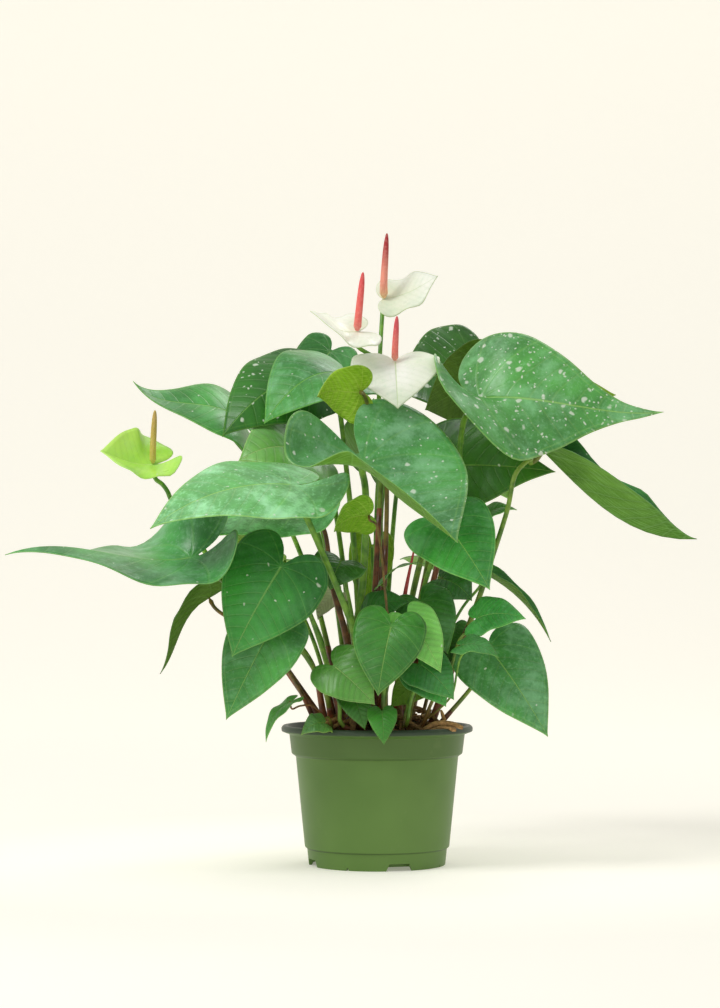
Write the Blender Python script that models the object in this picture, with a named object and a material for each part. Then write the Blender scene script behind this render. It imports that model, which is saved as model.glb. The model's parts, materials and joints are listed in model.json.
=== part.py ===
"""A potted anthurium: large and small heart-shaped leaves, white spathes with pink spadices, a green pot.

Metres, +Z up. The origin is the middle of the pot's underside, and the front faces -Y.
"""

import math
from dataclasses import dataclass

import bpy
import numpy as np

MM = 0.001

# The plant is laid out as it is seen from one eye point in front of it. Each leaf states the picture
# point of its joint and of its tip, in pixels, and how far behind the pot's axis each of them lies.
PICTURE_CENTRE = (360, 504)
PICTURE_DISTANCE = 2600
EYE = np.array([-0.0147, -2.246, 0.253])
EYE_PITCH = math.atan(66 / PICTURE_DISTANCE)

# The pot and its soil.
POT_RIM_RADIUS = 82.5 * MM
POT_SIDES = 40
SOIL_LEVEL = 107 * MM
SOIL_MOUND = 12 * MM
SOIL_MOUND_SHARE = 0.92
SOIL_HEAP = 9 * MM
SOIL_HEAP_X = 30 * MM
SOIL_HEAP_Y = -6 * MM
SOIL_HEAP_SPREAD = 24 * MM
SOIL_LUMP = 1.3 * MM
SOIL_LUMP_TURNS = (150, 130)

# The outline of a blade.
# Half of a flat blade's edge, from the tip round to the notch between the lobes. Each point is a share
# of the length and a share of the half width.
HEART = [
    (1.0, 0.0),
    (0.955, 0.055),
    (0.88, 0.18),
    (0.76, 0.38),
    (0.61, 0.61),
    (0.43, 0.82),
    (0.24, 0.96),
    (0.05, 1.0),
    (-0.14, 0.92),
    (-0.27, 0.68),
    (-0.29, 0.4),
    (-0.2, 0.17),
    (-0.06, 0.03),
]
SLIM_SPAN = (0.25, 0.85)
RING_CROWDING = 0.9

# The curves of a blade.
# A blade's fold is stated at these shares of its midrib: on the lobes, ahead of the joint and at the tip.
FOLD_STOPS = (-0.25, 0.3, 1.0)
LEAST_ARCH = 0.5
LOBE_END = 0.28
WAVE_BEATS = 1.9
WAVE_STARTS = (0.15, 0.55)
# Scales a cubic that is zero at three of a line's four thirds, so that it is one at the fourth.
THIRDS_CUBIC = 13.5

# The crown, where the stems leave the soil.
CROWN_INNER = 10 * MM
CROWN_SPREAD = 40 * MM
CROWN_LIMIT = 60 * MM
LEAST_RISE = 20 * MM
FOOT_SPACING = 9.5 * MM
FOOT_ROUNDS = 300
FOOT_PUSH = 0.3
STATED_FOOT_PUSH = 0.15
FOOT_DEPTH = 13 * MM
FOOT_STRAIGHT = 4 * MM
FOOT_MOST_LEAN = 0.55

# The stems' courses.
STEM_SAMPLES = 32
STEM_LOW_BEND = np.array([0.3, 0.3, 0.48])
STEM_HIGH_BEND = np.array([0.67, 0.67, 0.82])
NECK_MOST = 15 * MM
NECK_SHARE = 0.22
NECK_BACK = 2 * MM
FOOT_SWELL = 1.35
FOOT_SWELL_END = 0.55
NECK_START = 0.86
BRANCH_GIRTH = 0.9

# How the stems are kept clear of each other and of the blades.
STEM_ROOM = 3.2 * MM
BLADE_ROOM = 5 * MM
CLEARING_ROUNDS = 90
CLEARING_REACH = 12 * MM
CLEARING_PUSH = 0.25
CLEARING_MOST = 1.2 * MM
CLEARING_EASE = 5

# The blooms.
BLOOM_GAP = 1.1 * MM
SPADIX_GAP = 1.6 * MM
SPADIX_SAMPLES = 9
SPADIX_RISE = 0.3


@dataclass
class Leaf:
    """One blade or spathe with its stem. Picture points in pixels, depths and sizes in millimetres.

    joint, tip, depth: where the stem meets the blade, the blade's point, and how far back both are.
    width, face: the flat blade's width and the heading of its upper face.
    bow, sway: how far the midrib's two thirds lie above and to the right of a straight line.
    left, right: the half's fold in degrees at the three fold stops, then its arch to the edge.
    lobes: how far the left and the right lobe are lifted. wave: the height of the edge's waves.
    lobe, slim: the length of the lobes, and how much narrower the half toward the tip is.
    stem, foot_radius: the stem's radius at its middle and at its foot. via: points it passes.
    foot: where it leaves the soil. node: the shoot that it belongs to.
    """

    name: str
    joint: tuple
    tip: tuple
    depth: tuple
    width: float
    face: tuple
    bow: tuple = (6, 6)
    sway: tuple = (0, 0)
    left: tuple = (12, 10, 5, -20)
    right: tuple = (12, 10, 5, -20)
    lobes: tuple = (0, 0)
    wave: float = 1.5
    lobe: float = 1.0
    slim: float = 0.0
    stem: float = 2.0
    foot_radius: float = 0
    via: tuple = ()
    foot: tuple = ()
    tone: str = "green"
    node: str = ""


def unit(vector):
    vector = np.asarray(vector, float)
    return vector / np.maximum(np.linalg.norm(vector, axis=-1, keepdims=True), 1e-12)


def seen_at(across_px, down_px, depth_mm):
    """The point seen at a picture point, this far behind the pot's axis, in metres."""
    across = (across_px - PICTURE_CENTRE[0]) / PICTURE_DISTANCE
    up = (PICTURE_CENTRE[1] - down_px) / PICTURE_DISTANCE
    level, rise = math.cos(EYE_PITCH), math.sin(EYE_PITCH)
    ray = np.array([across, level - up * rise, rise + up * level])
    return EYE + ray * (depth_mm * MM - EYE[1]) / ray[1]


def smooth_through(points, count):
    """A smooth curve through the points, as this many points."""
    points = np.asarray(points, float)
    padded = np.vstack([2 * points[0] - points[1], points, 2 * points[-1] - points[-2]])
    spans = len(points) - 1
    curve = []
    for place in np.linspace(0, spans, count):
        first = min(int(place), spans - 1)
        u = place - first
        a, b, c, d = padded[first : first + 4]
        bend = (2 * a - 5 * b + 4 * c - d) * u * u + (3 * b - a - 3 * c + d) * u**3
        curve.append(0.5 * (2 * b + (c - a) * u + bend))
    return np.array(curve)


def eased(share, stops, values):
    """A value that passes from stop to stop with no kink."""
    share = np.clip(share, stops[0], stops[-1])
    result = np.full(np.shape(share), float(values[0]))
    for start, end, before, after in zip(stops, stops[1:], values, values[1:]):
        u = np.clip((share - start) / (end - start), 0, 1)
        result = result + (after - before) * u * u * (3 - 2 * u)
    return result


class Blade:
    """A heart-shaped sheet hung between its joint and its tip. Its right side is face x midrib."""

    def __init__(self, leaf):
        self.leaf = leaf
        self.joint = seen_at(*leaf.joint, leaf.depth[0])
        self.tip = seen_at(*leaf.tip, leaf.depth[1])
        self.length = float(np.linalg.norm(self.tip - self.joint))
        self.axis = unit(self.tip - self.joint)
        face = unit(leaf.face)
        self.normal = unit(face - face.dot(self.axis) * self.axis)
        self.side = np.cross(self.normal, self.axis)
        self.half = leaf.width * MM / 2
        _, along = self.rib(np.array(0.0))
        self.lift = unit(self.normal - along.dot(self.normal) * along)

    def rib(self, s):
        """Points and directions of the midrib at shares s of the length."""
        k = np.clip(s, 0, 1)[..., None]
        near_rise = THIRDS_CUBIC * k * (k - 2 / 3) * (k - 1)
        far_rise = -THIRDS_CUBIC * k * (k - 1 / 3) * (k - 1)
        near_slope = THIRDS_CUBIC * (3 * k * k - 10 / 3 * k + 2 / 3)
        far_slope = -THIRDS_CUBIC * (3 * k * k - 8 / 3 * k + 1 / 3)
        near = self.normal * self.leaf.bow[0] * MM + self.side * self.leaf.sway[0] * MM
        far = self.normal * self.leaf.bow[1] * MM + self.side * self.leaf.sway[1] * MM
        point = self.joint + self.axis * self.length * k + near * near_rise + far * far_rise
        along = unit(self.axis * self.length + near * near_slope + far * far_slope)
        return point + along * np.minimum(s, 0)[..., None] * self.length, along

    def points(self, s, t):
        """Points for shares s along the midrib and t across, -1 at the left edge to 1 at the right."""
        s, t = np.broadcast_arrays(np.asarray(s, float), np.asarray(t, float))
        leaf = self.leaf
        base, along = self.rib(s)
        up = unit(self.normal - (along @ self.normal)[..., None] * along)
        side = np.cross(up, along)
        right = t > 0
        right_fold = eased(s, FOLD_STOPS, leaf.right[:3])
        left_fold = eased(s, FOLD_STOPS, leaf.left[:3])
        fold = np.radians(np.where(right, right_fold, left_fold))
        arch = np.where(right, leaf.right[3], leaf.left[3])
        bend = np.radians(np.where(np.abs(arch) < LEAST_ARCH, LEAST_ARCH, arch)) / self.half
        reach = np.abs(t) * self.half
        out = (np.sin(fold + bend * reach) - np.sin(fold)) / bend
        rise = (np.cos(fold) - np.cos(fold + bend * reach)) / bend
        lift = np.where(right, leaf.lobes[1], leaf.lobes[0]) * MM
        rise = rise + lift * (np.minimum(s, 0) / LOBE_END) ** 2
        start = np.where(right, *WAVE_STARTS)
        beat = np.sin(2 * math.pi * (WAVE_BEATS * s + start))
        rise = rise + leaf.wave * MM * t * t * beat
        return base + side * (np.sign(t) * out)[..., None] + up * rise[..., None]

    def edge(self, count):
        """Flat places of the edge, from the notch round the left lobe to the tip and back."""
        half = np.array(HEART)
        half[:, 0] = np.where(half[:, 0] < 0, half[:, 0] * self.leaf.lobe, half[:, 0])
        narrow = self.leaf.slim * eased(half[:, 0], SLIM_SPAN, (0, 1))
        half[:, 1] = half[:, 1] * (1 - narrow)
        half = smooth_through(half, count)
        return np.vstack([half[::-1] * [1, -1], half[1:]])

    def grid(self, count, rings):
        """Points of rings about the joint, their flat places, and the triangles between them."""
        edge = self.edge(count)
        shares = (np.arange(1, rings + 1) / rings) ** RING_CROWDING
        flat = np.concatenate([[[0, 0]], *[edge * share for share in shares]])
        around = len(edge)
        faces = [(0, 1 + i, 1 + (i + 1) % around) for i in range(around)]
        for ring in range(rings - 1):
            start = 1 + ring * around
            for i in range(around):
                a, b = start + i, start + (i + 1) % around
                faces.append((a, a + around, b))
                faces.append((b, a + around, b + around))
        return self.points(flat[:, 0], flat[:, 1]), flat, np.array(faces)


def soil_height(x, y):
    """The soil's top: a mound about the crown, low at the wall, with lumps."""
    far = np.hypot(x, y) / (SOIL_MOUND_SHARE * POT_RIM_RADIUS)
    mound = SOIL_MOUND * np.clip(1 - far**2, 0, 1)
    off = (x - SOIL_HEAP_X) ** 2 + (y - SOIL_HEAP_Y) ** 2
    heap = SOIL_HEAP * np.exp(-off / SOIL_HEAP_SPREAD**2)
    lumps = SOIL_LUMP * np.sin(x * SOIL_LUMP_TURNS[0] + 1) * np.sin(y * SOIL_LUMP_TURNS[1] + 0.4)
    return SOIL_LEVEL + mound + heap + lumps


def crown_feet(leaves):
    """Where each stem leaves the soil: on its leaf's side, further out the more it leans."""
    feet = []
    for leaf in leaves:
        joint = Blade(leaf).joint
        reach = math.hypot(joint[0], joint[1])
        lean = min(1.0, reach / max(joint[2] - SOIL_LEVEL, LEAST_RISE))
        place = np.array(joint[:2]) / max(reach, 1e-6) * (CROWN_INNER + CROWN_SPREAD * lean)
        if leaf.foot:
            place = np.array(leaf.foot) * MM
        feet.append(place)
    feet = np.array(feet)
    loose = np.array([STATED_FOOT_PUSH if leaf.foot else 1.0 for leaf in leaves])[:, None]
    for _ in range(FOOT_ROUNDS):
        apart = feet[:, None] - feet[None]
        far = np.linalg.norm(apart, axis=2) + np.eye(len(feet))
        push = np.clip(FOOT_SPACING - far, 0, None) * (far < 1)
        np.fill_diagonal(push, 0)
        feet = feet + FOOT_PUSH * loose * (apart / far[..., None] * push[..., None]).sum(1)
        reach = np.linalg.norm(feet, axis=1, keepdims=True)
        feet = feet * np.minimum(1, CROWN_LIMIT / np.maximum(reach, 1e-9))
    return feet


def stem_start(foot, toward):
    """The straight lowest part of a stem, in its hole, leaning toward a point."""
    start = np.array([foot[0], foot[1], float(soil_height(*foot))])
    lean = toward - start
    least_rise = math.hypot(lean[0], lean[1]) / FOOT_MOST_LEAN
    lean = unit([lean[0], lean[1], max(lean[2], least_rise)])
    return start - lean * FOOT_DEPTH, start + lean * FOOT_STRAIGHT


def stem_course(leaf, foot, gap):
    """A stem's course from its foot up to the back of its blade's joint, this far short of it."""
    blade = Blade(leaf)
    end = blade.joint - blade.lift * gap
    neck = min(NECK_MOST, NECK_SHARE * blade.length)
    behind = end - blade.lift * neck - blade.axis * NECK_BACK
    ground = np.array([foot[0], foot[1], float(soil_height(*foot))])
    rise = behind - ground
    mids = [seen_at(*place) for place in reversed(leaf.via)]
    mids = mids or [ground + rise * STEM_LOW_BEND, ground + rise * STEM_HIGH_BEND]
    low, top = stem_start(foot, mids[0])
    return np.vstack([low, smooth_through([top, *mids, behind, end], STEM_SAMPLES - 1)])


def spear_course(spear, foot):
    """The rolled new leaf's course from its foot to its point."""
    mids = [seen_at(*place) for place in reversed(spear.via)]
    low, top = stem_start(foot, mids[0])
    return np.vstack([low, smooth_through([top, *mids], STEM_SAMPLES - 1)])


def spadix_course(blade, place):
    """A spadix's middle line: it starts square to the spathe and ends at its tip."""
    foot = blade.joint + blade.lift * SPADIX_GAP
    tip = seen_at(*place)
    heading = unit(blade.lift + unit(tip - foot))
    high = heading * SPADIX_RISE * np.linalg.norm(tip - foot)
    return smooth_through([foot, foot + high, tip], SPADIX_SAMPLES)


def stem_radii(leaf, count, slim=0.6):
    """A stem's radius at each sample: stout at its foot, slim under its midrib."""
    share = np.linspace(0, 1, count)
    foot = leaf.foot_radius or leaf.stem * FOOT_SWELL
    swell = np.clip(1 - share / FOOT_SWELL_END, 0, 1) ** 1.5
    neck = np.clip((share - NECK_START) / (1 - NECK_START), 0, 1) ** 2
    return (leaf.stem + (foot - leaf.stem) * swell) * (1 - slim * neck) * MM


def clear_courses(courses, radii, sheets):
    """Moves the stems' courses sideways until none runs into another stem or through a blade."""
    start = np.array(courses)
    count, samples, _ = start.shape
    place = np.arange(samples)
    from_foot = np.clip((place - 2) / CLEARING_EASE, 0, 1)
    from_end = np.clip((samples - 3 - place) / CLEARING_EASE, 0, 1)
    freedom = (from_foot * from_end)[None, :, None]
    sheet = np.concatenate(sheets)
    owner = np.repeat(np.arange(count), samples)
    sheet_owner = np.repeat(np.arange(count), [len(points) for points in sheets])
    all_owner = np.concatenate([owner, sheet_owner])
    radius = np.concatenate(radii)
    others_room = np.concatenate([radius + STEM_ROOM, np.full(len(sheet), BLADE_ROOM)])
    moved = np.zeros_like(start)
    for _ in range(CLEARING_ROUNDS):
        now = start + moved * freedom
        own = now.reshape(-1, 3)
        along = unit(np.gradient(now, axis=1)).reshape(-1, 3)
        others = np.concatenate([own, sheet])
        far = (own**2).sum(1)[:, None] + (others**2).sum(1)[None] - 2 * own @ others.T
        near = (far < CLEARING_REACH**2) & (owner[:, None] != all_owner[None])
        mine, theirs = np.nonzero(near)
        apart = own[mine] - others[theirs]
        short = radius[mine] + others_room[theirs] - np.linalg.norm(apart, axis=1)
        held = short > 0
        mine, apart, short = mine[held], apart[held], short[held]
        apart = apart - (apart * along[mine]).sum(1, keepdims=True) * along[mine]
        push = np.zeros_like(own)
        np.add.at(push, mine, unit(apart) * short[:, None] * CLEARING_PUSH)
        moved = moved + np.clip(push, -CLEARING_MOST, CLEARING_MOST).reshape(now.shape)
        moved[:, 1:-1] = 0.25 * moved[:, :-2] + 0.5 * moved[:, 1:-1] + 0.25 * moved[:, 2:]
    return start + moved * freedom


def all_courses():
    """The course and the radii of every stem: leaves, then blooms, then the rolled new leaf.

    The leaves of one shoot share a foot: the later ones branch from the first one's stem at the soil.
    """
    everything = [*LEAVES, *BLOOMS, SPEAR]
    rooted = [leaf for leaf in everything if not is_branch(leaf)]
    feet = dict(zip([leaf.name for leaf in rooted], crown_feet(rooted)))
    courses, radii, shoots = [], [], {}
    for leaf in everything:
        foot = feet.get(leaf.name)
        radius = stem_radii(leaf, STEM_SAMPLES, slim=0 if leaf in BLOOMS else 0.6)
        if leaf is SPEAR:
            course = spear_course(leaf, foot)
            share = np.linspace(0, 1, STEM_SAMPLES)
            radius = (leaf.foot_radius + (leaf.stem - leaf.foot_radius) * share**1.5) * MM
        elif leaf in BLOOMS:
            course = stem_course(leaf, foot, BLOOM_GAP)
        elif is_branch(leaf):
            parent, parent_foot = shoots[leaf.node]
            own = stem_course(leaf, parent_foot, 0)
            bends = [parent[2], *own[7::6], own[-1]]
            course = np.vstack([parent[1:3], smooth_through(bends, STEM_SAMPLES - 1)[1:]])
            radius = np.minimum(radius, BRANCH_GIRTH * leaf.stem * MM)
        else:
            course = stem_course(leaf, foot, 0)
            shoots.setdefault(leaf.node, (course, foot))
        courses.append(course)
        radii.append(radius)
    sheets = [Blade(leaf).grid(7, 3)[0] for leaf in everything]
    return clear_courses(courses, radii, sheets), radii


def is_branch(leaf):
    """Whether a leaf stem starts from another stem of its shoot instead of the soil."""
    shoot = [other.name for other in LEAVES if leaf.node and other.node == leaf.node]
    return leaf.name in shoot[1:]


LEAVES = [
    # The large leaves that reach to the left.
    Leaf("left_reach", (190, 558), (5, 555), (-94, -134), 112, (0, -0.42, 0.9), bow=(0, 8),
         slim=0.3, lobe=0.85, left=(62, -18, -50, 5), right=(0, 8, 0, -10), lobes=(8, 38), wave=4,
         via=((217, 577, -86), (262, 612, -70), (312, 662, -50))),
    Leaf("left_upper", (290, 485), (150, 529), (-92, -125), 112, (-0.1, -0.5, 0.87), bow=(12, 12),
         left=(6, 8, 10, -20), right=(8, 8, 5, -30), lobes=(0, 22), stem=2.6,
         via=((303, 512, -90), (320, 548, -84), (345, 608, -76), (354, 640, -68)),
         foot=(-14, -46)),
    Leaf("left_under", (290, 512), (169, 545), (-34, -66), 98, (-0.1, -0.5, 0.85), bow=(8, 10),
         lobes=(0, 20), foot_radius=4.6, via=((322, 526, -36), (333, 587, -36), (350, 650, -36)),
         foot=(-20, -30)),
    Leaf("left_front", (281, 567), (232, 657), (-104, -112), 88, (-0.1, -0.92, 0.35), bow=(5, 5),
         left=(8, 6, 5, -20), right=(-12, -12, -10, -25), via=((304, 600, -84), (324, 655, -62)),
         foot=(-28, -46)),
    Leaf("left_low", (272, 628), (226, 720), (-92, -108), 66, (-0.1, -0.95, 0.3), bow=(4, 4),
         lobe=0.7, via=((299, 648, -84), (322, 686, -66)), foot=(-38, -34)),
    Leaf("left_hanging", (209, 598), (160, 674), (-40, -62), 34, (-0.5, 0.1, 0.6), bow=(6, 2),
         left=(35, 35, 30, 10), right=(35, 35, 30, 10), stem=1.6),
    Leaf("left_fill", (258, 541), (206, 562), (-30, -48), 60, (0, 0.45, 0.9), tone="bright",
         stem=1.6),
    Leaf("far_left", (243, 424), (133, 381), (60, 30), 92, (0.1, -0.5, 0.85), bow=(4, -6),
         slim=0.3, left=(10, 10, 10, -20), right=(4, 6, 8, -20)),
    # The large leaves at the top left.
    Leaf("top_left_spotted", (306, 372), (222, 437), (36, -2), 92, (-0.3, -0.75, 0.5),
         bow=(10, 10), left=(5, 5, 5, -12), right=(-25, -25, -20, -25), tone="dark"),
    Leaf("top_left_glossy", (343, 374), (264, 424), (2, -30), 104, (-0.15, -0.62, 0.72), lobe=0.5,
         bow=(16, 14), tone="dark"),
    Leaf("left_pale_fold", (306, 450), (238, 462), (10, -20), 92, (-0.1, -0.75, 0.6), bow=(8, 10),
         tone="light"),
    Leaf("back_lit", (360, 392), (317, 397), (-62, -68), 56, (0.25, 0.8, 0.5), bow=(4, 8),
         left=(0, 0, 0, -20), right=(0, 0, 0, -20), tone="bright", stem=1.7,
         via=((371, 420, -26), (376, 445, -18), (380, 480, -20))),
    Leaf("back_top_left", (330, 352), (300, 400), (80, 70), 56, (0, -0.8, 0.5)),
    Leaf("centre_gap", (366, 462), (374, 398), (28, 58), 60, (0, 0.5, 0.8), tone="dark", stem=1.7),
    # The large leaf in the middle.
    Leaf("centre", (364, 463), (458, 543), (-85, -175), 152, (-0.19, -0.7, 0.69), bow=(-8, -4),
         lobe=1.2, left=(28, 72, 78, -10), right=(0, 0, 0, -15), lobes=(22, 0), stem=3.0,
         via=((366, 500, -50), (366, 600, -36)), foot=(-9, -22)),
    # The large leaves that reach to the right.
    Leaf("right_big", (481, 399), (664, 412), (-20, -42), 130, (0.1, -0.95, 0.3), bow=(6, -6),
         slim=0.62, left=(140, 14, 5, -15), right=(0, 0, 5, -15), lobe=0.6, stem=2.6,
         via=((466, 416, -22), (460, 450, -28), (458, 490, -27), (450, 540, -18), (436, 590, -8)),
         foot=(22, -4)),
    Leaf("right_back", (506, 412), (616, 395), (47, 28), 106, (0, 0.7, 0.7), lobe=0.4,
         tone="bright"),
    Leaf("top_right_dark", (470, 370), (396, 392), (106, 98), 108, (0, -0.8, 0.5),
         via=((462, 420, 90), (445, 480, 62)), tone="dark"),
    Leaf("right_olive", (489, 382), (425, 410), (52, 36), 86, (0, 0.85, 0.5), lobe=0.7,
         via=((480, 425, 52), (468, 452, 44), (455, 500, 26)), tone="dark"),
    Leaf("right_dark", (447, 466), (556, 472), (12, -8), 88, (0, -0.95, 0.3), slim=0.3,
         tone="dark"),
    Leaf("right_curl", (544, 452), (697, 539), (-23, -71), 54, (0.25, -0.3, 0.9), bow=(-14, -18),
         lobe=0.65, slim=-1.2, left=(0, 85, 90, 0), right=(50, 62, 65, 0),
         via=((530, 459, -32), (515, 475, -38), (507, 510, -42), (491, 559, -40), (470, 620, -38)),
         foot=(44, -30)),
    Leaf("right_small_light", (480, 521), (517, 510), (10, 8), 36, (0, -0.4, 0.9), tone="light",
         stem=1.2),
    Leaf("centre_right", (444, 522), (490, 590), (-44, -76), 76, (-0.1, -0.85, 0.5), lobe=0.7),
    Leaf("right_low", (489, 648), (548, 737), (-45, -70), 74, (0.1, -0.95, 0.3), lobe=0.45,
         stem=1.6, via=((474, 684, -44),), foot=(50, -40)),
    Leaf("right_small", (478, 618), (526, 619), (-74, -84), 40, (0, -0.8, 0.6), stem=1.2,
         via=((460, 638, -72), (447, 672, -68)), foot=(34, -42), node="right_shoot"),
    Leaf("right_tiny", (463, 645), (499, 658), (-92, -102), 23, (0, -0.7, 0.7), stem=1.0,
         via=((455, 666, -86), (452, 690, -70)), node="right_shoot"),
    Leaf("right_narrow", (487, 575), (551, 642), (30, 20), 20, (0.3, -0.3, 0.8), lobe=0.5,
         left=(50, 50, 50, 5), right=(50, 50, 50, 5), stem=1.3),
    # The smaller leaves in front of the stems.
    Leaf("front", (391, 627), (378, 696), (-98, -104), 61, (-0.1, -0.97, 0.25), stem=1.6,
         node="front_shoot"),
    Leaf("front_light", (410, 620), (441, 673), (-80, -88), 42, (0.1, -0.95, 0.3), tone="light",
         stem=1.5, node="front_shoot"),
    Leaf("centre_dark", (422, 602), (448, 654), (-50, -58), 50, (0.1, -0.9, 0.4), tone="dark",
         stem=1.6, node="dark_shoot"),
    Leaf("back_right_dark", (442, 579), (472, 601), (-30, -36), 46, (0.1, -0.8, 0.5), tone="dark",
         stem=1.5, node="dark_shoot"),
    Leaf("right_inner_dark", (452, 630), (447, 676), (-18, -22), 34, (0, -0.9, 0.4), tone="dark",
         stem=1.2, node="dark_shoot"),
    Leaf("left_front_small", (335, 667), (375, 705), (-88, -94), 48, (-0.1, -0.9, 0.35),
         tone="light", stem=1.5, node="left_front_shoot"),
    Leaf("low_front", (352, 690), (365, 730), (-72, -80), 30, (0, -0.95, 0.2), stem=1.1,
         node="left_front_shoot"),
    Leaf("rim", (382, 712), (384, 745), (-88, -95), 25, (0, -0.95, 0.25), stem=1.0, foot=(4, -62)),
    Leaf("rim_left", (324, 723), (301, 735), (-76, -84), 22, (0, -0.8, 0.5), tone="bright",
         stem=1.0, via=((328, 717, -66),), foot=(-37, -51), node="left_rim_shoot"),
    Leaf("young_left", (290, 702), (266, 742), (-62, -74), 16, (-0.6, -0.6, 0.4), tone="light",
         stem=0.9, via=((306, 704, -56), (322, 712, -52)), foot=(-48, -46), node="left_rim_shoot"),
    Leaf("right_low_heart", (421, 665), (454, 700), (-80, -88), 42, (0.1, -0.95, 0.4), stem=1.4,
         node="right_low_shoot"),
    Leaf("right_low_second", (420, 672), (446, 707), (-68, -74), 38, (0.1, -0.95, 0.4), stem=1.2,
         node="right_low_shoot"),
    Leaf("dark_under", (420, 680), (391, 707), (-48, -54), 30, (0, 0.95, 0.2), tone="dark",
         stem=1.1),
    Leaf("behind_front", (370, 612), (410, 602), (-54, -58), 34, (0, -0.8, 0.6), tone="dark",
         stem=1.2),
    Leaf("left_centre", (341, 562), (330, 590), (-62, -70), 46, (0, -0.9, 0.4), tone="dark",
         stem=1.5),
    Leaf("centre_bright", (369, 515), (334, 532), (-66, -76), 44, (0, 0.7, 0.7), lobe=0.5,
         tone="bright", stem=1.0, via=((378, 530, -64), (385, 585, -70), (388, 625, -68))),
    Leaf("centre_low_bright", (372, 548), (366, 612), (50, 50), 40, (0, 0.9, 0.4), tone="bright",
         stem=1.3),
    Leaf("narrow_dark", (380, 584), (426, 564), (-50, -54), 18, (0, -0.1, 1), lobe=0.5, stem=1.1),
    Leaf("old_pale", (337, 594), (318, 620), (-12, -16), 26, (0, 0.6, 0.7), tone="pale", stem=1.0),
    # The leaves at the back, behind the stems.
    Leaf("back_left_high", (300, 480), (235, 530), (100, 150), 104, (-0.2, 0.35, 0.9),
         bow=(10, 10)),
    Leaf("back_right_high", (445, 470), (510, 500), (114, 168), 104, (0.2, 0.4, 0.9),
         bow=(10, 10)),
    Leaf("back_middle", (400, 440), (420, 478), (120, 205), 110, (0, 0.5, 0.85), bow=(12, 12)),
    Leaf("back_left_low", (285, 560), (245, 600), (90, 145), 88, (-0.2, 0.6, 0.7), bow=(8, 8)),
    Leaf("back_right_low", (436, 556), (466, 590), (90, 140), 70, (0.2, 0.6, 0.7), bow=(8, 8)),
]

BLOOMS = [
    Leaf("bloom_tall", (384, 299), (438, 276), (8, -6), 48, (0, -0.7, 0.7), bow=(-4, -3), lobe=0.4,
         slim=-0.7, left=(10, 8, 5, -15), right=(10, 8, 5, -15), wave=2, stem=1.9, tone="white",
         via=((380, 355, 4), (379, 400, 8), (380, 470, 6))),
    Leaf("bloom_left", (357, 332), (310, 311), (-44, -76), 58, (-0.2, -0.62, 0.7), bow=(-5, -3),
         left=(10, 8, 5, -15), right=(10, 8, 5, -15), wave=2, stem=1.8, tone="white",
         via=((381, 362, -28), (386, 392, -27), (384, 430, -12))),
    Leaf("bloom_front", (395, 362), (398, 409), (-44, -66), 76, (0, -0.9, 0.4), bow=(5, 4),
         left=(10, 8, 5, -15), right=(10, 8, 5, -15), wave=2, stem=1.8, tone="white",
         via=((391, 410, -6), (389, 460, 0))),
    Leaf("bloom_young", (153, 465), (100, 451), (10, -8), 74, (-0.1, -0.35, 0.93), bow=(-3, -2),
         lobe=1.5, slim=-0.5, left=(22, 50, 62, -10), right=(5, 2, 0, -10), lobes=(0, 4),
         wave=2, stem=2.0,
         tone="young", via=((166, 489, 12), (190, 530, 16))),
]

# The rolled new leaf: its stem radius is that of its point.
SPEAR = Leaf("red_spear", (415, 545), (416, 540), (-38, -38), 2, (0, -1, 0), stem=0.7,
             foot_radius=3.4, via=((415, 545, -38), (404, 600, -34), (398, 650, -30)),
             foot=(10, -16))

# The tip of each bloom's spadix, with its depth, and the radius at its foot and at its tip.
SPADICES = {
    "bloom_tall": ((387, 233, 4), 3.7, 2.6),
    "bloom_left": ((363, 272, -50), 3.5, 2.7),
    "bloom_front": ((397, 316, -52), 3.1, 2.4),
    "bloom_young": ((155, 410, 0), 2.8, 2.6),
}

SPADIX_TONES = {
    "bloom_tall": "pink",
    "bloom_left": "pink",
    "bloom_front": "pink",
    "bloom_young": "tan",
}

# How fully the solids are worked out.
BLADE_THICKNESS = 0.9 * MM
LARGE_BLADE = 75
LARGE_EDGE, LARGE_RINGS = 8, 3
SMALL_EDGE, SMALL_RINGS = 6, 2
STEM_SIDES = 5
STALK_SIDES = 6
STEM_TOLERANCE = 1.8 * MM
SPADIX_SIDES = 8
SPADIX_NECK = 0.45
SPADIX_NECK_GROWTH = 4
SPADIX_ROUNDING = 8
SPADIX_END_AREA = 0.03
PART_GAP = 0.3 * MM
HOLE_SIDES = 6
HOLE_ABOVE = 14 * MM

# The pot's section as radius and height, from the middle of its underside round its outside, over the
# rim and down to the middle of its floor.
POT_SECTION_MM = [
    (0, 0), (20, 0), (22, 3), (55.5, 3), (56, 0), (58.7, 0), (60.2, 14), (62.2, 15.5),
    (70, 93), (73.6, 95.5), (75.6, 112), (82.3, 114.5), (82.5, 117.5), (81, 119.5),
    (77.5, 119.5), (74, 112), (72, 96), (68.4, 93), (58.6, 14.5), (56.5, 5), (0, 5),
]
SOIL_WALL_MM = [(0, 5.3), (56, 5.3), (58.2, 14.7), (67.9, 93.2)]
SOIL_RINGS_MM = [72.8, 56, 40, 25, 12]
NOTCH_TURN = 18.4
NOTCH_WIDTH, NOTCH_TOP, NOTCH_HEIGHT = 24 * MM, 18 * MM, 6 * MM
VENT_TURN = -25.5
VENT_WIDTH, VENT_TOP, VENT_HEIGHT = 3.2 * MM, 0.6 * MM, 2.5 * MM
CUTTER_INNER, CUTTER_OUTER, CUTTER_BELOW = 52 * MM, 66 * MM, 1 * MM

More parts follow.
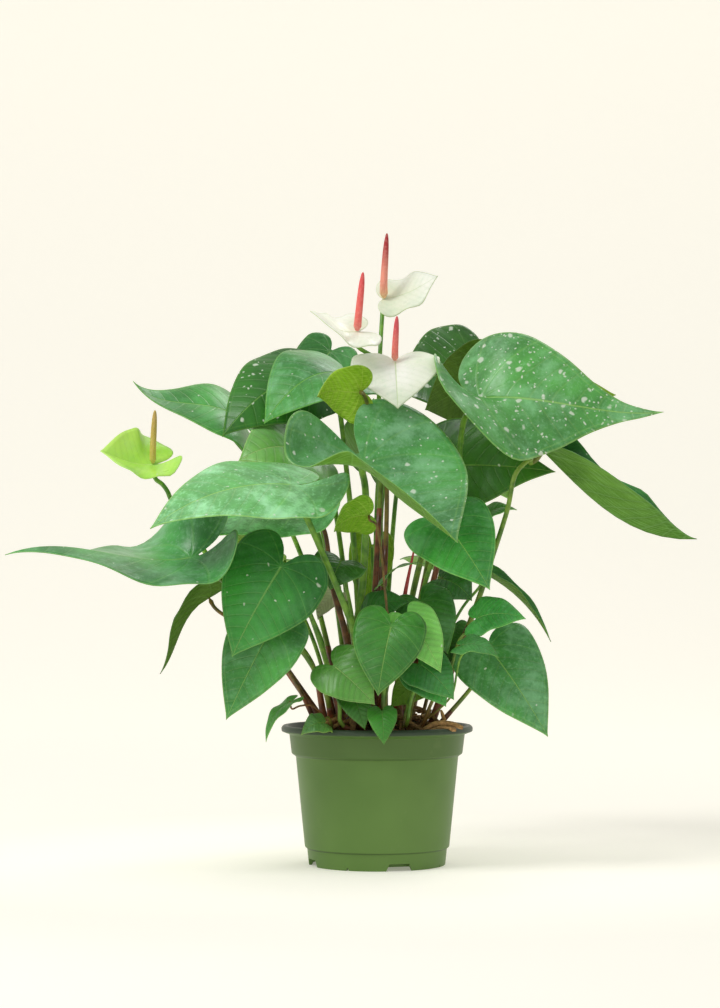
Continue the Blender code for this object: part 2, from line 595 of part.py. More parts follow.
COLOURS = {
    "green": (0.07, 0.22, 0.08),
    "dark": (0.04, 0.15, 0.05),
    "bright": (0.2, 0.4, 0.04),
    "light": (0.16, 0.36, 0.12),
    "pale": (0.6, 0.65, 0.35),
    "white": (0.86, 0.87, 0.78),
    "young": (0.35, 0.6, 0.1),
    "stalk": (0.13, 0.3, 0.05),
    "pink": (0.8, 0.15, 0.18),
    "tan": (0.55, 0.42, 0.14),
    "red": (0.45, 0.06, 0.05),
    "soil": (0.1, 0.05, 0.03),
    "pot": (0.12, 0.21, 0.06),
}


def clear_scene():
    for item in list(bpy.data.objects):
        bpy.data.objects.remove(item)


def solid(name, points, faces):
    """A mesh object of these points and faces."""
    mesh = bpy.data.meshes.new(name)
    corners = [tuple(map(float, point)) for point in points]
    sides = [tuple(map(int, face)) for face in faces]
    mesh.from_pydata(corners, [], sides)
    item = bpy.data.objects.new(name, mesh)
    bpy.context.scene.collection.objects.link(item)
    return item


def blade_sheet(name, leaf):
    """A leaf's blade as a sheet of triangles, given its thickness by a modifier."""
    edge, rings = SMALL_EDGE, SMALL_RINGS
    if leaf.width >= LARGE_BLADE:
        edge, rings = LARGE_EDGE, LARGE_RINGS
    points, _, faces = Blade(leaf).grid(edge, rings)
    item = solid(name, points, faces)
    thick = item.modifiers.new("Thickness", "SOLIDIFY")
    thick.thickness = BLADE_THICKNESS
    thick.offset = 0
    split = item.modifiers.new("Triangles", "TRIANGULATE")
    split.quad_method = "FIXED"
    return item


def thinned(course, tolerance):
    """The indices of the stations that a course needs to keep within the tolerance of its samples."""
    kept = {0, len(course) - 1}
    spans = [(0, len(course) - 1)]
    while spans:
        first, last = spans.pop()
        if last - first < 2:
            continue
        line = unit(course[last] - course[first])
        inner = course[first + 1 : last] - course[first]
        off = np.linalg.norm(inner - (inner @ line)[:, None] * line, axis=1)
        if off.max() > tolerance:
            worst = first + 1 + int(off.argmax())
            kept.add(worst)
            spans += [(first, worst), (worst, last)]
    return sorted(kept)


def tube(name, course, radii, sides, along=None):
    """A closed tube of rings round a course, square to its headings."""
    along = unit(np.gradient(course, axis=0)) if along is None else along
    across = unit(np.cross(along[0], (0.13, 1, 0.21)))
    points = []
    for centre, heading, radius in zip(course, along, radii):
        across = unit(across - across.dot(heading) * heading)
        other = np.cross(heading, across)
        for turn in np.arange(sides) * 2 * math.pi / sides:
            points.append(centre + radius * (across * math.cos(turn) + other * math.sin(turn)))
    faces = [tuple(range(sides))[::-1]]
    for ring in range(len(course) - 1):
        for i in range(sides):
            a, b = ring * sides + i, ring * sides + (i + 1) % sides
            faces.append((a, b, b + sides, a + sides))
    last = (len(course) - 1) * sides
    faces.append(tuple(range(last, last + sides)))
    return solid(name, points, faces)


def stem_tube(name, course, radii, sides=STEM_SIDES):
    """A stem with only the rings that its bends need, and always one where it leaves its hole."""
    kept = thinned(course, STEM_TOLERANCE)
    if 1 not in kept:
        kept.insert(1, 1)
    along = unit(np.gradient(course, axis=0))
    return tube(name, course[kept], radii[kept], sides, along[kept])


def fuse(name, items):
    """Joins the closed solids into one."""
    first, rest = items[0], items[1:]
    if rest:
        group = bpy.data.collections.new(name + "_rest")
        bpy.context.scene.collection.children.link(group)
        for item in rest:
            bpy.context.scene.collection.objects.unlink(item)
            group.objects.link(item)
        union = first.modifiers.new("Union", "BOOLEAN")
        union.operation = "UNION"
        union.operand_type = "COLLECTION"
        union.collection = group
        union.solver = "EXACT"
    graph = bpy.context.evaluated_depsgraph_get()
    whole = bpy.data.meshes.new_from_object(first.evaluated_get(graph))
    first.modifiers.clear()
    first.data = whole
    for item in rest:
        bpy.data.objects.remove(item)
    if rest:
        bpy.data.collections.remove(group)
    first.name = name
    return first


def cut(item, cutters):
    """Takes the closed cutters out of a solid."""
    group = bpy.data.collections.new(item.name + "_cutters")
    bpy.context.scene.collection.children.link(group)
    for cutter in cutters:
        bpy.context.scene.collection.objects.unlink(cutter)
        group.objects.link(cutter)
    holes = item.modifiers.new("Holes", "BOOLEAN")
    holes.operation = "DIFFERENCE"
    holes.operand_type = "COLLECTION"
    holes.collection = group
    holes.solver = "EXACT"
    graph = bpy.context.evaluated_depsgraph_get()
    whole = bpy.data.meshes.new_from_object(item.evaluated_get(graph))
    item.modifiers.clear()
    item.data = whole
    for cutter in cutters:
        bpy.data.objects.remove(cutter)
    bpy.data.collections.remove(group)
    return item


def finish(item, tone, smooth=True, roughness=0.45):
    """Gives a part its own material and shading."""
    material = bpy.data.materials.new(item.name)
    material.use_nodes = True
    shader = material.node_tree.nodes["Principled BSDF"]
    shader.inputs["Base Color"].default_value = (*COLOURS[tone], 1)
    shader.inputs["Roughness"].default_value = roughness
    item.data.materials.clear()
    item.data.materials.append(material)
    item.data.polygons.foreach_set("use_smooth", [smooth] * len(item.data.polygons))


def revolved(name, section, top=None):
    """A solid turned about the pot's axis, which may be closed by rings on the soil's top."""
    rings = [[(0, 0, section[0][1])]]
    turns = np.arange(POT_SIDES) * 2 * math.pi / POT_SIDES
    for radius, height in section[1:]:
        if radius > 0:
            ring = [(radius * math.cos(turn), radius * math.sin(turn)) for turn in turns]
            rings.append([(x, y, height) for x, y in ring])
    for radius in top or []:
        ring = [(radius * math.cos(turn), radius * math.sin(turn)) for turn in turns]
        rings.append([(x, y, float(soil_height(x, y))) for x, y in ring])
    last = float(soil_height(0, 0)) if top else section[-1][1]
    rings.append([(0, 0, last)])
    points = [point for ring in rings for point in ring]
    faces = []
    start = 0
    for ring, following in zip(rings, rings[1:]):
        after = start + len(ring)
        for i in range(POT_SIDES):
            j = (i + 1) % POT_SIDES
            if len(ring) == 1:
                faces.append((start, after + j, after + i))
            elif len(following) == 1:
                faces.append((start + i, start + j, after))
            elif top and after >= 1 + POT_SIDES * len(section[1:]):
                faces.append((start + i, start + j, after + i))
                faces.append((start + j, after + j, after + i))
            else:
                faces.append((start + i, start + j, after + j, after + i))
        start = after
    return solid(name, points, faces)


def foot_notch(turn, width, top_width, height):
    """A tapered block across the pot's foot ring."""
    out = np.array([math.sin(math.radians(turn)), -math.cos(math.radians(turn))])
    across = np.array([-out[1], out[0]])
    points = []
    low = -CUTTER_BELOW
    corners = ((-width, low), (width, low), (top_width, height), (-top_width, height))
    for radius in (CUTTER_INNER, CUTTER_OUTER):
        for side, level in corners:
            points.append((*(out * radius + across * side / 2), level))
    faces = [(0, 3, 2, 1), (4, 5, 6, 7), (0, 1, 5, 4), (1, 2, 6, 5), (2, 3, 7, 6), (3, 0, 4, 7)]
    return solid("notch", points, faces)


def build_pot():
    pot = revolved("pot", [(radius * MM, height * MM) for radius, height in POT_SECTION_MM])
    cutters = []
    for quarter in range(4):
        cutters.append(foot_notch(NOTCH_TURN + 90 * quarter, NOTCH_WIDTH, NOTCH_TOP, NOTCH_HEIGHT))
        cutters.append(foot_notch(VENT_TURN + 90 * quarter, VENT_WIDTH, VENT_TOP, VENT_HEIGHT))
    cut(pot, cutters)
    finish(pot, "pot", roughness=0.5)


def build_soil(courses, radii):
    """The soil, with a plain hole for the foot of each stem."""
    wall = [(radius * MM, height * MM) for radius, height in SOIL_WALL_MM]
    soil = revolved("soil", wall, [radius * MM for radius in SOIL_RINGS_MM])
    holes = []
    for leaf, course, radius in zip([*LEAVES, *BLOOMS, SPEAR], courses, radii):
        if is_branch(leaf):
            continue
        heading = unit(course[1] - course[0])
        below = course[0] - heading * PART_GAP
        ends = np.array([below, course[0] + heading * (FOOT_DEPTH + HOLE_ABOVE)])
        wide = (radius[0] + PART_GAP) / math.cos(math.pi / HOLE_SIDES)
        holes.append(tube("hole", ends, [wide, wide], HOLE_SIDES))
    cut(soil, holes)
    finish(soil, "soil", smooth=False, roughness=0.9)


def build_leaves(courses, radii):
    """Each leaf with its stem in one solid, and the leaves of a shoot in one."""
    nodes = {}
    for leaf, course, radius in zip(LEAVES, courses, radii):
        blade = blade_sheet(leaf.name, leaf)
        stem = stem_tube(leaf.name + "_stem", course, radius)
        nodes.setdefault(leaf.node or leaf.name, []).append((leaf, blade, stem))
    for name, members in nodes.items():
        items = [fuse(leaf.name, [blade, stem]) for leaf, blade, stem in members]
        whole = fuse(name, items)
        finish(whole, members[0][0].tone)


def build_blooms(courses, radii):
    """Each bloom as a spathe, the stalk under it and the spadix above it, a little apart."""
    for bloom, course, radius in zip(BLOOMS, courses, radii):
        blade = Blade(bloom)
        spathe = fuse(bloom.name + "_spathe", [blade_sheet(bloom.name, bloom)])
        finish(spathe, bloom.tone)
        finish(stem_tube(bloom.name + "_stalk", course, radius, STALK_SIDES), "stalk")
        place, foot, tip = SPADICES[bloom.name]
        spadix = spadix_course(blade, place)
        share = np.linspace(0, 1, len(spadix))
        rounding = np.sqrt(np.clip(1 - share**SPADIX_ROUNDING, SPADIX_END_AREA, 1))
        neck = np.clip(SPADIX_NECK + SPADIX_NECK_GROWTH * share, 0, 1)
        wide = (foot + (tip - foot) * share) * rounding * neck
        item = tube(bloom.name + "_spadix", spadix, wide * MM, SPADIX_SIDES)
        finish(item, SPADIX_TONES[bloom.name])


def build_spear(course, radius):
    finish(stem_tube("red_spear", course, radius, STALK_SIDES), "red")


def main():
    clear_scene()
    courses, radii = all_courses()
    build_pot()
    build_soil(courses, radii)
    leaf_count = len(LEAVES)
    bloom_end = leaf_count + len(BLOOMS)
    build_leaves(courses[:leaf_count], radii[:leaf_count])
    build_blooms(courses[leaf_count:bloom_end], radii[leaf_count:bloom_end])
    build_spear(courses[-1], radii[-1])


main()
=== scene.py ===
"""The potted anthurium's looks: veined blades, stems, blooms, soil and pot, a pale floor and soft light.

The plant is laid out by the same table and rules as its solids, so each piece lies where its node is.
"""

import json
import math
from dataclasses import dataclass

import bpy
import numpy as np
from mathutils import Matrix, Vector

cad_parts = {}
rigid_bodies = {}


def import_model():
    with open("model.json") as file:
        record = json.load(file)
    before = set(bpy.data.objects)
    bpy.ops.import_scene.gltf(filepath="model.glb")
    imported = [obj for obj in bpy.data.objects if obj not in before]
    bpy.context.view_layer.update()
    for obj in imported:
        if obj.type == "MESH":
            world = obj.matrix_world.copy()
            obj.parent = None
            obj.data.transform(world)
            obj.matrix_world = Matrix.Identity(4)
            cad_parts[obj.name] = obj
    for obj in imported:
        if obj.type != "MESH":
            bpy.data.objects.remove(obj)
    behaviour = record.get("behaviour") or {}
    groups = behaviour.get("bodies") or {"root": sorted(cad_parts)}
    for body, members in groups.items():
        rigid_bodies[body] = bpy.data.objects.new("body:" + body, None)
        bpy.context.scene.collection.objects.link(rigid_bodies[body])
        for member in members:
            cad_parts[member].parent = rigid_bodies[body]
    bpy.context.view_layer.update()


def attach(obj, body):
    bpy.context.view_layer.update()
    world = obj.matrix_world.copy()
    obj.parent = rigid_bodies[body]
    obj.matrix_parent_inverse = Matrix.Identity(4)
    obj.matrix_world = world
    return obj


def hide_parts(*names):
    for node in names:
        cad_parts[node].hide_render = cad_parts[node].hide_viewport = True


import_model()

MM = 0.001

# The plant is laid out as it is seen from one eye point in front of it. Each leaf states the picture
# point of its joint and of its tip, in pixels, and how far behind the pot's axis each of them lies.
PICTURE_CENTRE = (360, 504)
PICTURE_DISTANCE = 2600
EYE = np.array([-0.0147, -2.246, 0.253])
EYE_PITCH = math.atan(66 / PICTURE_DISTANCE)

# The pot and its soil.
POT_RIM_RADIUS = 82.5 * MM
SOIL_LEVEL = 107 * MM
SOIL_MOUND = 12 * MM
SOIL_MOUND_SHARE = 0.92
SOIL_HEAP = 9 * MM
SOIL_HEAP_X = 30 * MM
SOIL_HEAP_Y = -6 * MM
SOIL_HEAP_SPREAD = 24 * MM
SOIL_LUMP = 1.3 * MM
SOIL_LUMP_TURNS = (150, 130)
SOIL_LUMP_STARTS = (1, 0.4)

# The outline of a blade.
# Half of a flat blade's edge, from the tip round to the notch between the lobes. Each point is a share
# of the length and a share of the half width.
HEART = [
    (1.0, 0.0),
    (0.955, 0.055),
    (0.88, 0.18),
    (0.76, 0.38),
    (0.61, 0.61),
    (0.43, 0.82),
    (0.24, 0.96),
    (0.05, 1.0),
    (-0.14, 0.92),
    (-0.27, 0.68),
    (-0.29, 0.4),
    (-0.2, 0.17),
    (-0.06, 0.03),
]
SLIM_SPAN = (0.25, 0.85)
RING_CROWDING = 0.9

# The curves of a blade.
# A blade's fold is stated at these shares of its midrib: on the lobes, ahead of the joint and at the tip.
FOLD_STOPS = (-0.25, 0.3, 1.0)
LEAST_ARCH = 0.5
LOBE_END = 0.28
WAVE_BEATS = 1.9
WAVE_STARTS = (0.15, 0.55)
# Scales a cubic that is zero at three of a line's four thirds, so that it is one at the fourth.
THIRDS_CUBIC = 13.5

# The crown, where the stems leave the soil.
CROWN_INNER = 10 * MM
CROWN_SPREAD = 40 * MM
CROWN_LIMIT = 60 * MM
LEAST_RISE = 20 * MM
FOOT_SPACING = 9.5 * MM
FOOT_ROUNDS = 300
FOOT_PUSH = 0.3
STATED_FOOT_PUSH = 0.15
FOOT_DEPTH = 13 * MM
FOOT_STRAIGHT = 4 * MM
FOOT_MOST_LEAN = 0.55

# The stems' courses.
STEM_SAMPLES = 32
STEM_LOW_BEND = np.array([0.3, 0.3, 0.48])
STEM_HIGH_BEND = np.array([0.67, 0.67, 0.82])
NECK_MOST = 15 * MM
NECK_SHARE = 0.22
NECK_BACK = 2 * MM
FOOT_SWELL = 1.35
FOOT_SWELL_END = 0.55
FOOT_SWELL_POWER = 1.5
NECK_START = 0.86
NECK_SLIM = 0.6
BRANCH_GIRTH = 0.9
BRANCH_FIRST, BRANCH_STEP = 7, 6

# How the stems are kept clear of each other and of the blades.
STEM_ROOM = 3.2 * MM
BLADE_ROOM = 5 * MM
CLEARING_ROUNDS = 90
CLEARING_REACH = 12 * MM
CLEARING_PUSH = 0.25
CLEARING_MOST = 1.2 * MM
CLEARING_EASE = 5
CLEARING_GRID = (7, 3)

# The blooms.
BLOOM_GAP = 1.1 * MM
SPADIX_GAP = 1.6 * MM
SPADIX_SAMPLES = 9
SPADIX_RISE = 0.3


@dataclass
class Leaf:
    """One blade or spathe with its stem. Picture points in pixels, depths and sizes in millimetres.

    joint, tip, depth: where the stem meets the blade, the blade's point, and how far back both are.
    width, face: the flat blade's width and the heading of its upper face.
    bow, sway: how far the midrib's two thirds lie above and to the right of a straight line.
    left, right: the half's fold in degrees at the three fold stops, then its arch to the edge.
    lobes: how far the left and the right lobe are lifted. wave: the height of the edge's waves.
    lobe, slim: the length of the lobes, and how much narrower the half toward the tip is.
    stem, foot_radius: the stem's radius at its middle and at its foot. via: points it passes.
    foot: where it leaves the soil. node: the shoot that it belongs to.
    """

    name: str
    joint: tuple
    tip: tuple
    depth: tuple
    width: float
    face: tuple
    bow: tuple = (6, 6)
    sway: tuple = (0, 0)
    left: tuple = (12, 10, 5, -20)
    right: tuple = (12, 10, 5, -20)
    lobes: tuple = (0, 0)
    wave: float = 1.5
    lobe: float = 1.0
    slim: float = 0.0
    stem: float = 2.0
    foot_radius: float = 0
    via: tuple = ()
    foot: tuple = ()
    tone: str = "green"
    node: str = ""


def unit(vector):
    vector = np.asarray(vector, float)
    return vector / np.maximum(np.linalg.norm(vector, axis=-1, keepdims=True), 1e-12)


def seen_at(across_px, down_px, depth_mm):
    """The point seen at a picture point, this far behind the pot's axis, in metres."""
    across = (across_px - PICTURE_CENTRE[0]) / PICTURE_DISTANCE
    up = (PICTURE_CENTRE[1] - down_px) / PICTURE_DISTANCE
    level, rise = math.cos(EYE_PITCH), math.sin(EYE_PITCH)
    ray = np.array([across, level - up * rise, rise + up * level])
    return EYE + ray * (depth_mm * MM - EYE[1]) / ray[1]


def smooth_through(points, count):
    """A smooth curve through the points, as this many points."""
    points = np.asarray(points, float)
    padded = np.vstack([2 * points[0] - points[1], points, 2 * points[-1] - points[-2]])
    spans = len(points) - 1
    curve = []
    for place in np.linspace(0, spans, count):
        first = min(int(place), spans - 1)
        u = place - first
        a, b, c, d = padded[first : first + 4]
        bend = (2 * a - 5 * b + 4 * c - d) * u * u + (3 * b - a - 3 * c + d) * u**3
        curve.append(0.5 * (2 * b + (c - a) * u + bend))
    return np.array(curve)


def eased(share, stops, values):
    """A value that passes from stop to stop with no kink."""
    share = np.clip(share, stops[0], stops[-1])
    result = np.full(np.shape(share), float(values[0]))
    for start, end, before, after in zip(stops, stops[1:], values, values[1:]):
        u = np.clip((share - start) / (end - start), 0, 1)
        result = result + (after - before) * u * u * (3 - 2 * u)
    return result


class Blade:
    """A heart-shaped sheet hung between its joint and its tip. Its right side is face x midrib."""

    def __init__(self, leaf):
        self.leaf = leaf
        self.joint = seen_at(*leaf.joint, leaf.depth[0])
        self.tip = seen_at(*leaf.tip, leaf.depth[1])
        self.length = float(np.linalg.norm(self.tip - self.joint))
        self.axis = unit(self.tip - self.joint)
        face = unit(leaf.face)
        self.normal = unit(face - face.dot(self.axis) * self.axis)
        self.side = np.cross(self.normal, self.axis)
        self.half = leaf.width * MM / 2
        _, along = self.rib(np.array(0.0))
        self.lift = unit(self.normal - along.dot(self.normal) * along)

    def rib(self, s):
        """Points and directions of the midrib at shares s of the length."""
        k = np.clip(s, 0, 1)[..., None]
        near_rise = THIRDS_CUBIC * k * (k - 2 / 3) * (k - 1)
        far_rise = -THIRDS_CUBIC * k * (k - 1 / 3) * (k - 1)
        near_slope = THIRDS_CUBIC * (3 * k * k - 10 / 3 * k + 2 / 3)
        far_slope = -THIRDS_CUBIC * (3 * k * k - 8 / 3 * k + 1 / 3)
        near = self.normal * self.leaf.bow[0] * MM + self.side * self.leaf.sway[0] * MM
        far = self.normal * self.leaf.bow[1] * MM + self.side * self.leaf.sway[1] * MM
        point = self.joint + self.axis * self.length * k + near * near_rise + far * far_rise
        along = unit(self.axis * self.length + near * near_slope + far * far_slope)
        return point + along * np.minimum(s, 0)[..., None] * self.length, along

    def points(self, s, t):
        """Points for shares s along the midrib and t across, -1 at the left edge to 1 at the right."""
        s, t = np.broadcast_arrays(np.asarray(s, float), np.asarray(t, float))
        leaf = self.leaf
        base, along = self.rib(s)
        up = unit(self.normal - (along @ self.normal)[..., None] * along)
        side = np.cross(up, along)
        right = t > 0
        right_fold = eased(s, FOLD_STOPS, leaf.right[:3])
        left_fold = eased(s, FOLD_STOPS, leaf.left[:3])
        fold = np.radians(np.where(right, right_fold, left_fold))
        arch = np.where(right, leaf.right[3], leaf.left[3])
        bend = np.radians(np.where(np.abs(arch) < LEAST_ARCH, LEAST_ARCH, arch)) / self.half
        reach = np.abs(t) * self.half
        out = (np.sin(fold + bend * reach) - np.sin(fold)) / bend
        rise = (np.cos(fold) - np.cos(fold + bend * reach)) / bend
        lift = np.where(right, leaf.lobes[1], leaf.lobes[0]) * MM
        rise = rise + lift * (np.minimum(s, 0) / LOBE_END) ** 2
        start = np.where(right, *WAVE_STARTS)
        beat = np.sin(2 * math.pi * (WAVE_BEATS * s + start))
        rise = rise + leaf.wave * MM * t * t * beat
        return base + side * (np.sign(t) * out)[..., None] + up * rise[..., None]

    def edge(self, count):
        """Flat places of the edge, from the notch round the left lobe to the tip and back."""
        half = np.array(HEART)
        half[:, 0] = np.where(half[:, 0] < 0, half[:, 0] * self.leaf.lobe, half[:, 0])
        narrow = self.leaf.slim * eased(half[:, 0], SLIM_SPAN, (0, 1))
        half[:, 1] = half[:, 1] * (1 - narrow)
        half = smooth_through(half, count)
        return np.vstack([half[::-1] * [1, -1], half[1:]])

    def grid(self, count, rings):
        """Points of rings about the joint, their flat places, and the triangles between them."""
        edge = self.edge(count)
        shares = (np.arange(1, rings + 1) / rings) ** RING_CROWDING
        flat = np.concatenate([[[0, 0]], *[edge * share for share in shares]])
        around = len(edge)
        faces = [(0, 1 + i, 1 + (i + 1) % around) for i in range(around)]
        for ring in range(rings - 1):
            start = 1 + ring * around
            for i in range(around):
                a, b = start + i, start + (i + 1) % around
                faces.append((a, a + around, b))
                faces.append((b, a + around, b + around))
        return self.points(flat[:, 0], flat[:, 1]), flat, np.array(faces)


def soil_height(x, y):
    """The soil's top: a mound about the crown, low at the wall, with lumps."""
    far = np.hypot(x, y) / (SOIL_MOUND_SHARE * POT_RIM_RADIUS)
    mound = SOIL_MOUND * np.clip(1 - far**2, 0, 1)
    off = (x - SOIL_HEAP_X) ** 2 + (y - SOIL_HEAP_Y) ** 2
    heap = SOIL_HEAP * np.exp(-off / SOIL_HEAP_SPREAD**2)
    lumps_x = np.sin(x * SOIL_LUMP_TURNS[0] + SOIL_LUMP_STARTS[0])
    lumps_y = np.sin(y * SOIL_LUMP_TURNS[1] + SOIL_LUMP_STARTS[1])
    return SOIL_LEVEL + mound + heap + SOIL_LUMP * lumps_x * lumps_y


def crown_feet(leaves):
    """Where each stem leaves the soil: on its leaf's side, further out the more it leans."""
    feet = []
    for leaf in leaves:
        joint = Blade(leaf).joint
        reach = math.hypot(joint[0], joint[1])
        lean = min(1.0, reach / max(joint[2] - SOIL_LEVEL, LEAST_RISE))
        place = np.array(joint[:2]) / max(reach, 1e-6) * (CROWN_INNER + CROWN_SPREAD * lean)
        if leaf.foot:
            place = np.array(leaf.foot) * MM
        feet.append(place)
    feet = np.array(feet)
    loose = np.array([STATED_FOOT_PUSH if leaf.foot else 1.0 for leaf in leaves])[:, None]
    for _ in range(FOOT_ROUNDS):
        apart = feet[:, None] - feet[None]
        far = np.linalg.norm(apart, axis=2) + np.eye(len(feet))
        push = np.clip(FOOT_SPACING - far, 0, None) * (far < 1)
        np.fill_diagonal(push, 0)
        feet = feet + FOOT_PUSH * loose * (apart / far[..., None] * push[..., None]).sum(1)
        reach = np.linalg.norm(feet, axis=1, keepdims=True)
        feet = feet * np.minimum(1, CROWN_LIMIT / np.maximum(reach, 1e-9))
    return feet


def stem_start(foot, toward):
    """The straight lowest part of a stem, in its hole, leaning toward a point."""
    start = np.array([foot[0], foot[1], float(soil_height(*foot))])
    lean = toward - start
    least_rise = math.hypot(lean[0], lean[1]) / FOOT_MOST_LEAN
    lean = unit([lean[0], lean[1], max(lean[2], least_rise)])
    return start - lean * FOOT_DEPTH, start + lean * FOOT_STRAIGHT


def stem_course(leaf, foot, gap):
    """A stem's course from its foot up to the back of its blade's joint, this far short of it."""
    blade = Blade(leaf)
    end = blade.joint - blade.lift * gap
    neck = min(NECK_MOST, NECK_SHARE * blade.length)
    behind = end - blade.lift * neck - blade.axis * NECK_BACK
    ground = np.array([foot[0], foot[1], float(soil_height(*foot))])
    rise = behind - ground
    mids = [seen_at(*place) for place in reversed(leaf.via)]
    mids = mids or [ground + rise * STEM_LOW_BEND, ground + rise * STEM_HIGH_BEND]
    low, top = stem_start(foot, mids[0])
    return np.vstack([low, smooth_through([top, *mids, behind, end], STEM_SAMPLES - 1)])


def spear_course(spear, foot):
    """The rolled new leaf's course from its foot to its point."""
    mids = [seen_at(*place) for place in reversed(spear.via)]
    low, top = stem_start(foot, mids[0])
    return np.vstack([low, smooth_through([top, *mids], STEM_SAMPLES - 1)])


def spadix_course(blade, place):
    """A spadix's middle line: it starts square to the spathe and ends at its tip."""
    foot = blade.joint + blade.lift * SPADIX_GAP
    tip = seen_at(*place)
    heading = unit(blade.lift + unit(tip - foot))
    high = heading * SPADIX_RISE * np.linalg.norm(tip - foot)
    return smooth_through([foot, foot + high, tip], SPADIX_SAMPLES)


def stem_radii(leaf, count, slim=NECK_SLIM):
    """A stem's radius at each sample: stout at its foot, slim under its midrib."""
    share = np.linspace(0, 1, count)
    foot = leaf.foot_radius or leaf.stem * FOOT_SWELL
    swell = np.clip(1 - share / FOOT_SWELL_END, 0, 1) ** FOOT_SWELL_POWER
    neck = np.clip((share - NECK_START) / (1 - NECK_START), 0, 1) ** 2
    return (leaf.stem + (foot - leaf.stem) * swell) * (1 - slim * neck) * MM


def clear_courses(courses, radii, sheets):
    """Moves the stems' courses sideways until none runs into another stem or through a blade."""
    start = np.array(courses)
    count, samples, _ = start.shape
    place = np.arange(samples)
    from_foot = np.clip((place - 2) / CLEARING_EASE, 0, 1)
    from_end = np.clip((samples - 3 - place) / CLEARING_EASE, 0, 1)
    freedom = (from_foot * from_end)[None, :, None]
    sheet = np.concatenate(sheets)
    owner = np.repeat(np.arange(count), samples)
    sheet_owner = np.repeat(np.arange(count), [len(points) for points in sheets])
    all_owner = np.concatenate([owner, sheet_owner])
    radius = np.concatenate(radii)
    others_room = np.concatenate([radius + STEM_ROOM, np.full(len(sheet), BLADE_ROOM)])
    moved = np.zeros_like(start)
    for _ in range(CLEARING_ROUNDS):
        now = start + moved * freedom
        own = now.reshape(-1, 3)
        along = unit(np.gradient(now, axis=1)).reshape(-1, 3)
        others = np.concatenate([own, sheet])
        far = (own**2).sum(1)[:, None] + (others**2).sum(1)[None] - 2 * own @ others.T
        near = (far < CLEARING_REACH**2) & (owner[:, None] != all_owner[None])
        mine, theirs = np.nonzero(near)
        apart = own[mine] - others[theirs]
        short = radius[mine] + others_room[theirs] - np.linalg.norm(apart, axis=1)
        held = short > 0
        mine, apart, short = mine[held], apart[held], short[held]
        apart = apart - (apart * along[mine]).sum(1, keepdims=True) * along[mine]
        push = np.zeros_like(own)
        np.add.at(push, mine, unit(apart) * short[:, None] * CLEARING_PUSH)
        moved = moved + np.clip(push, -CLEARING_MOST, CLEARING_MOST).reshape(now.shape)
        moved[:, 1:-1] = 0.25 * moved[:, :-2] + 0.5 * moved[:, 1:-1] + 0.25 * moved[:, 2:]
    return start + moved * freedom


def all_courses():
    """The course and the radii of every stem: leaves, then blooms, then the rolled new leaf.

    The leaves of one shoot share a foot: the later ones branch from the first one's stem at the soil.
    """
    everything = [*LEAVES, *BLOOMS, SPEAR]
    rooted = [leaf for leaf in everything if not is_branch(leaf)]
    feet = dict(zip([leaf.name for leaf in rooted], crown_feet(rooted)))
    courses, radii, shoots = [], [], {}
    for leaf in everything:
        foot = feet.get(leaf.name)
        radius = stem_radii(leaf, STEM_SAMPLES, slim=0 if leaf in BLOOMS else NECK_SLIM)
        if leaf is SPEAR:
            course = spear_course(leaf, foot)
            share = np.linspace(0, 1, STEM_SAMPLES)
            radius = (leaf.foot_radius + (leaf.stem - leaf.foot_radius) * share**FOOT_SWELL_POWER) * MM
        elif leaf in BLOOMS:
            course = stem_course(leaf, foot, BLOOM_GAP)
        elif is_branch(leaf):
            parent, parent_foot = shoots[leaf.node]
            own = stem_course(leaf, parent_foot, 0)
            bends = [parent[2], *own[BRANCH_FIRST::BRANCH_STEP], own[-1]]
            course = np.vstack([parent[1:3], smooth_through(bends, STEM_SAMPLES - 1)[1:]])
            radius = np.minimum(radius, BRANCH_GIRTH * leaf.stem * MM)
        else:
            course = stem_course(leaf, foot, 0)
            shoots.setdefault(leaf.node, (course, foot))
        courses.append(course)
        radii.append(radius)
    sheets = [Blade(leaf).grid(*CLEARING_GRID)[0] for leaf in everything]
    return clear_courses(courses, radii, sheets), radii


def is_branch(leaf):
    """Whether a leaf stem starts from another stem of its shoot instead of the soil."""
    shoot = [other.name for other in LEAVES if leaf.node and other.node == leaf.node]
    return leaf.name in shoot[1:]


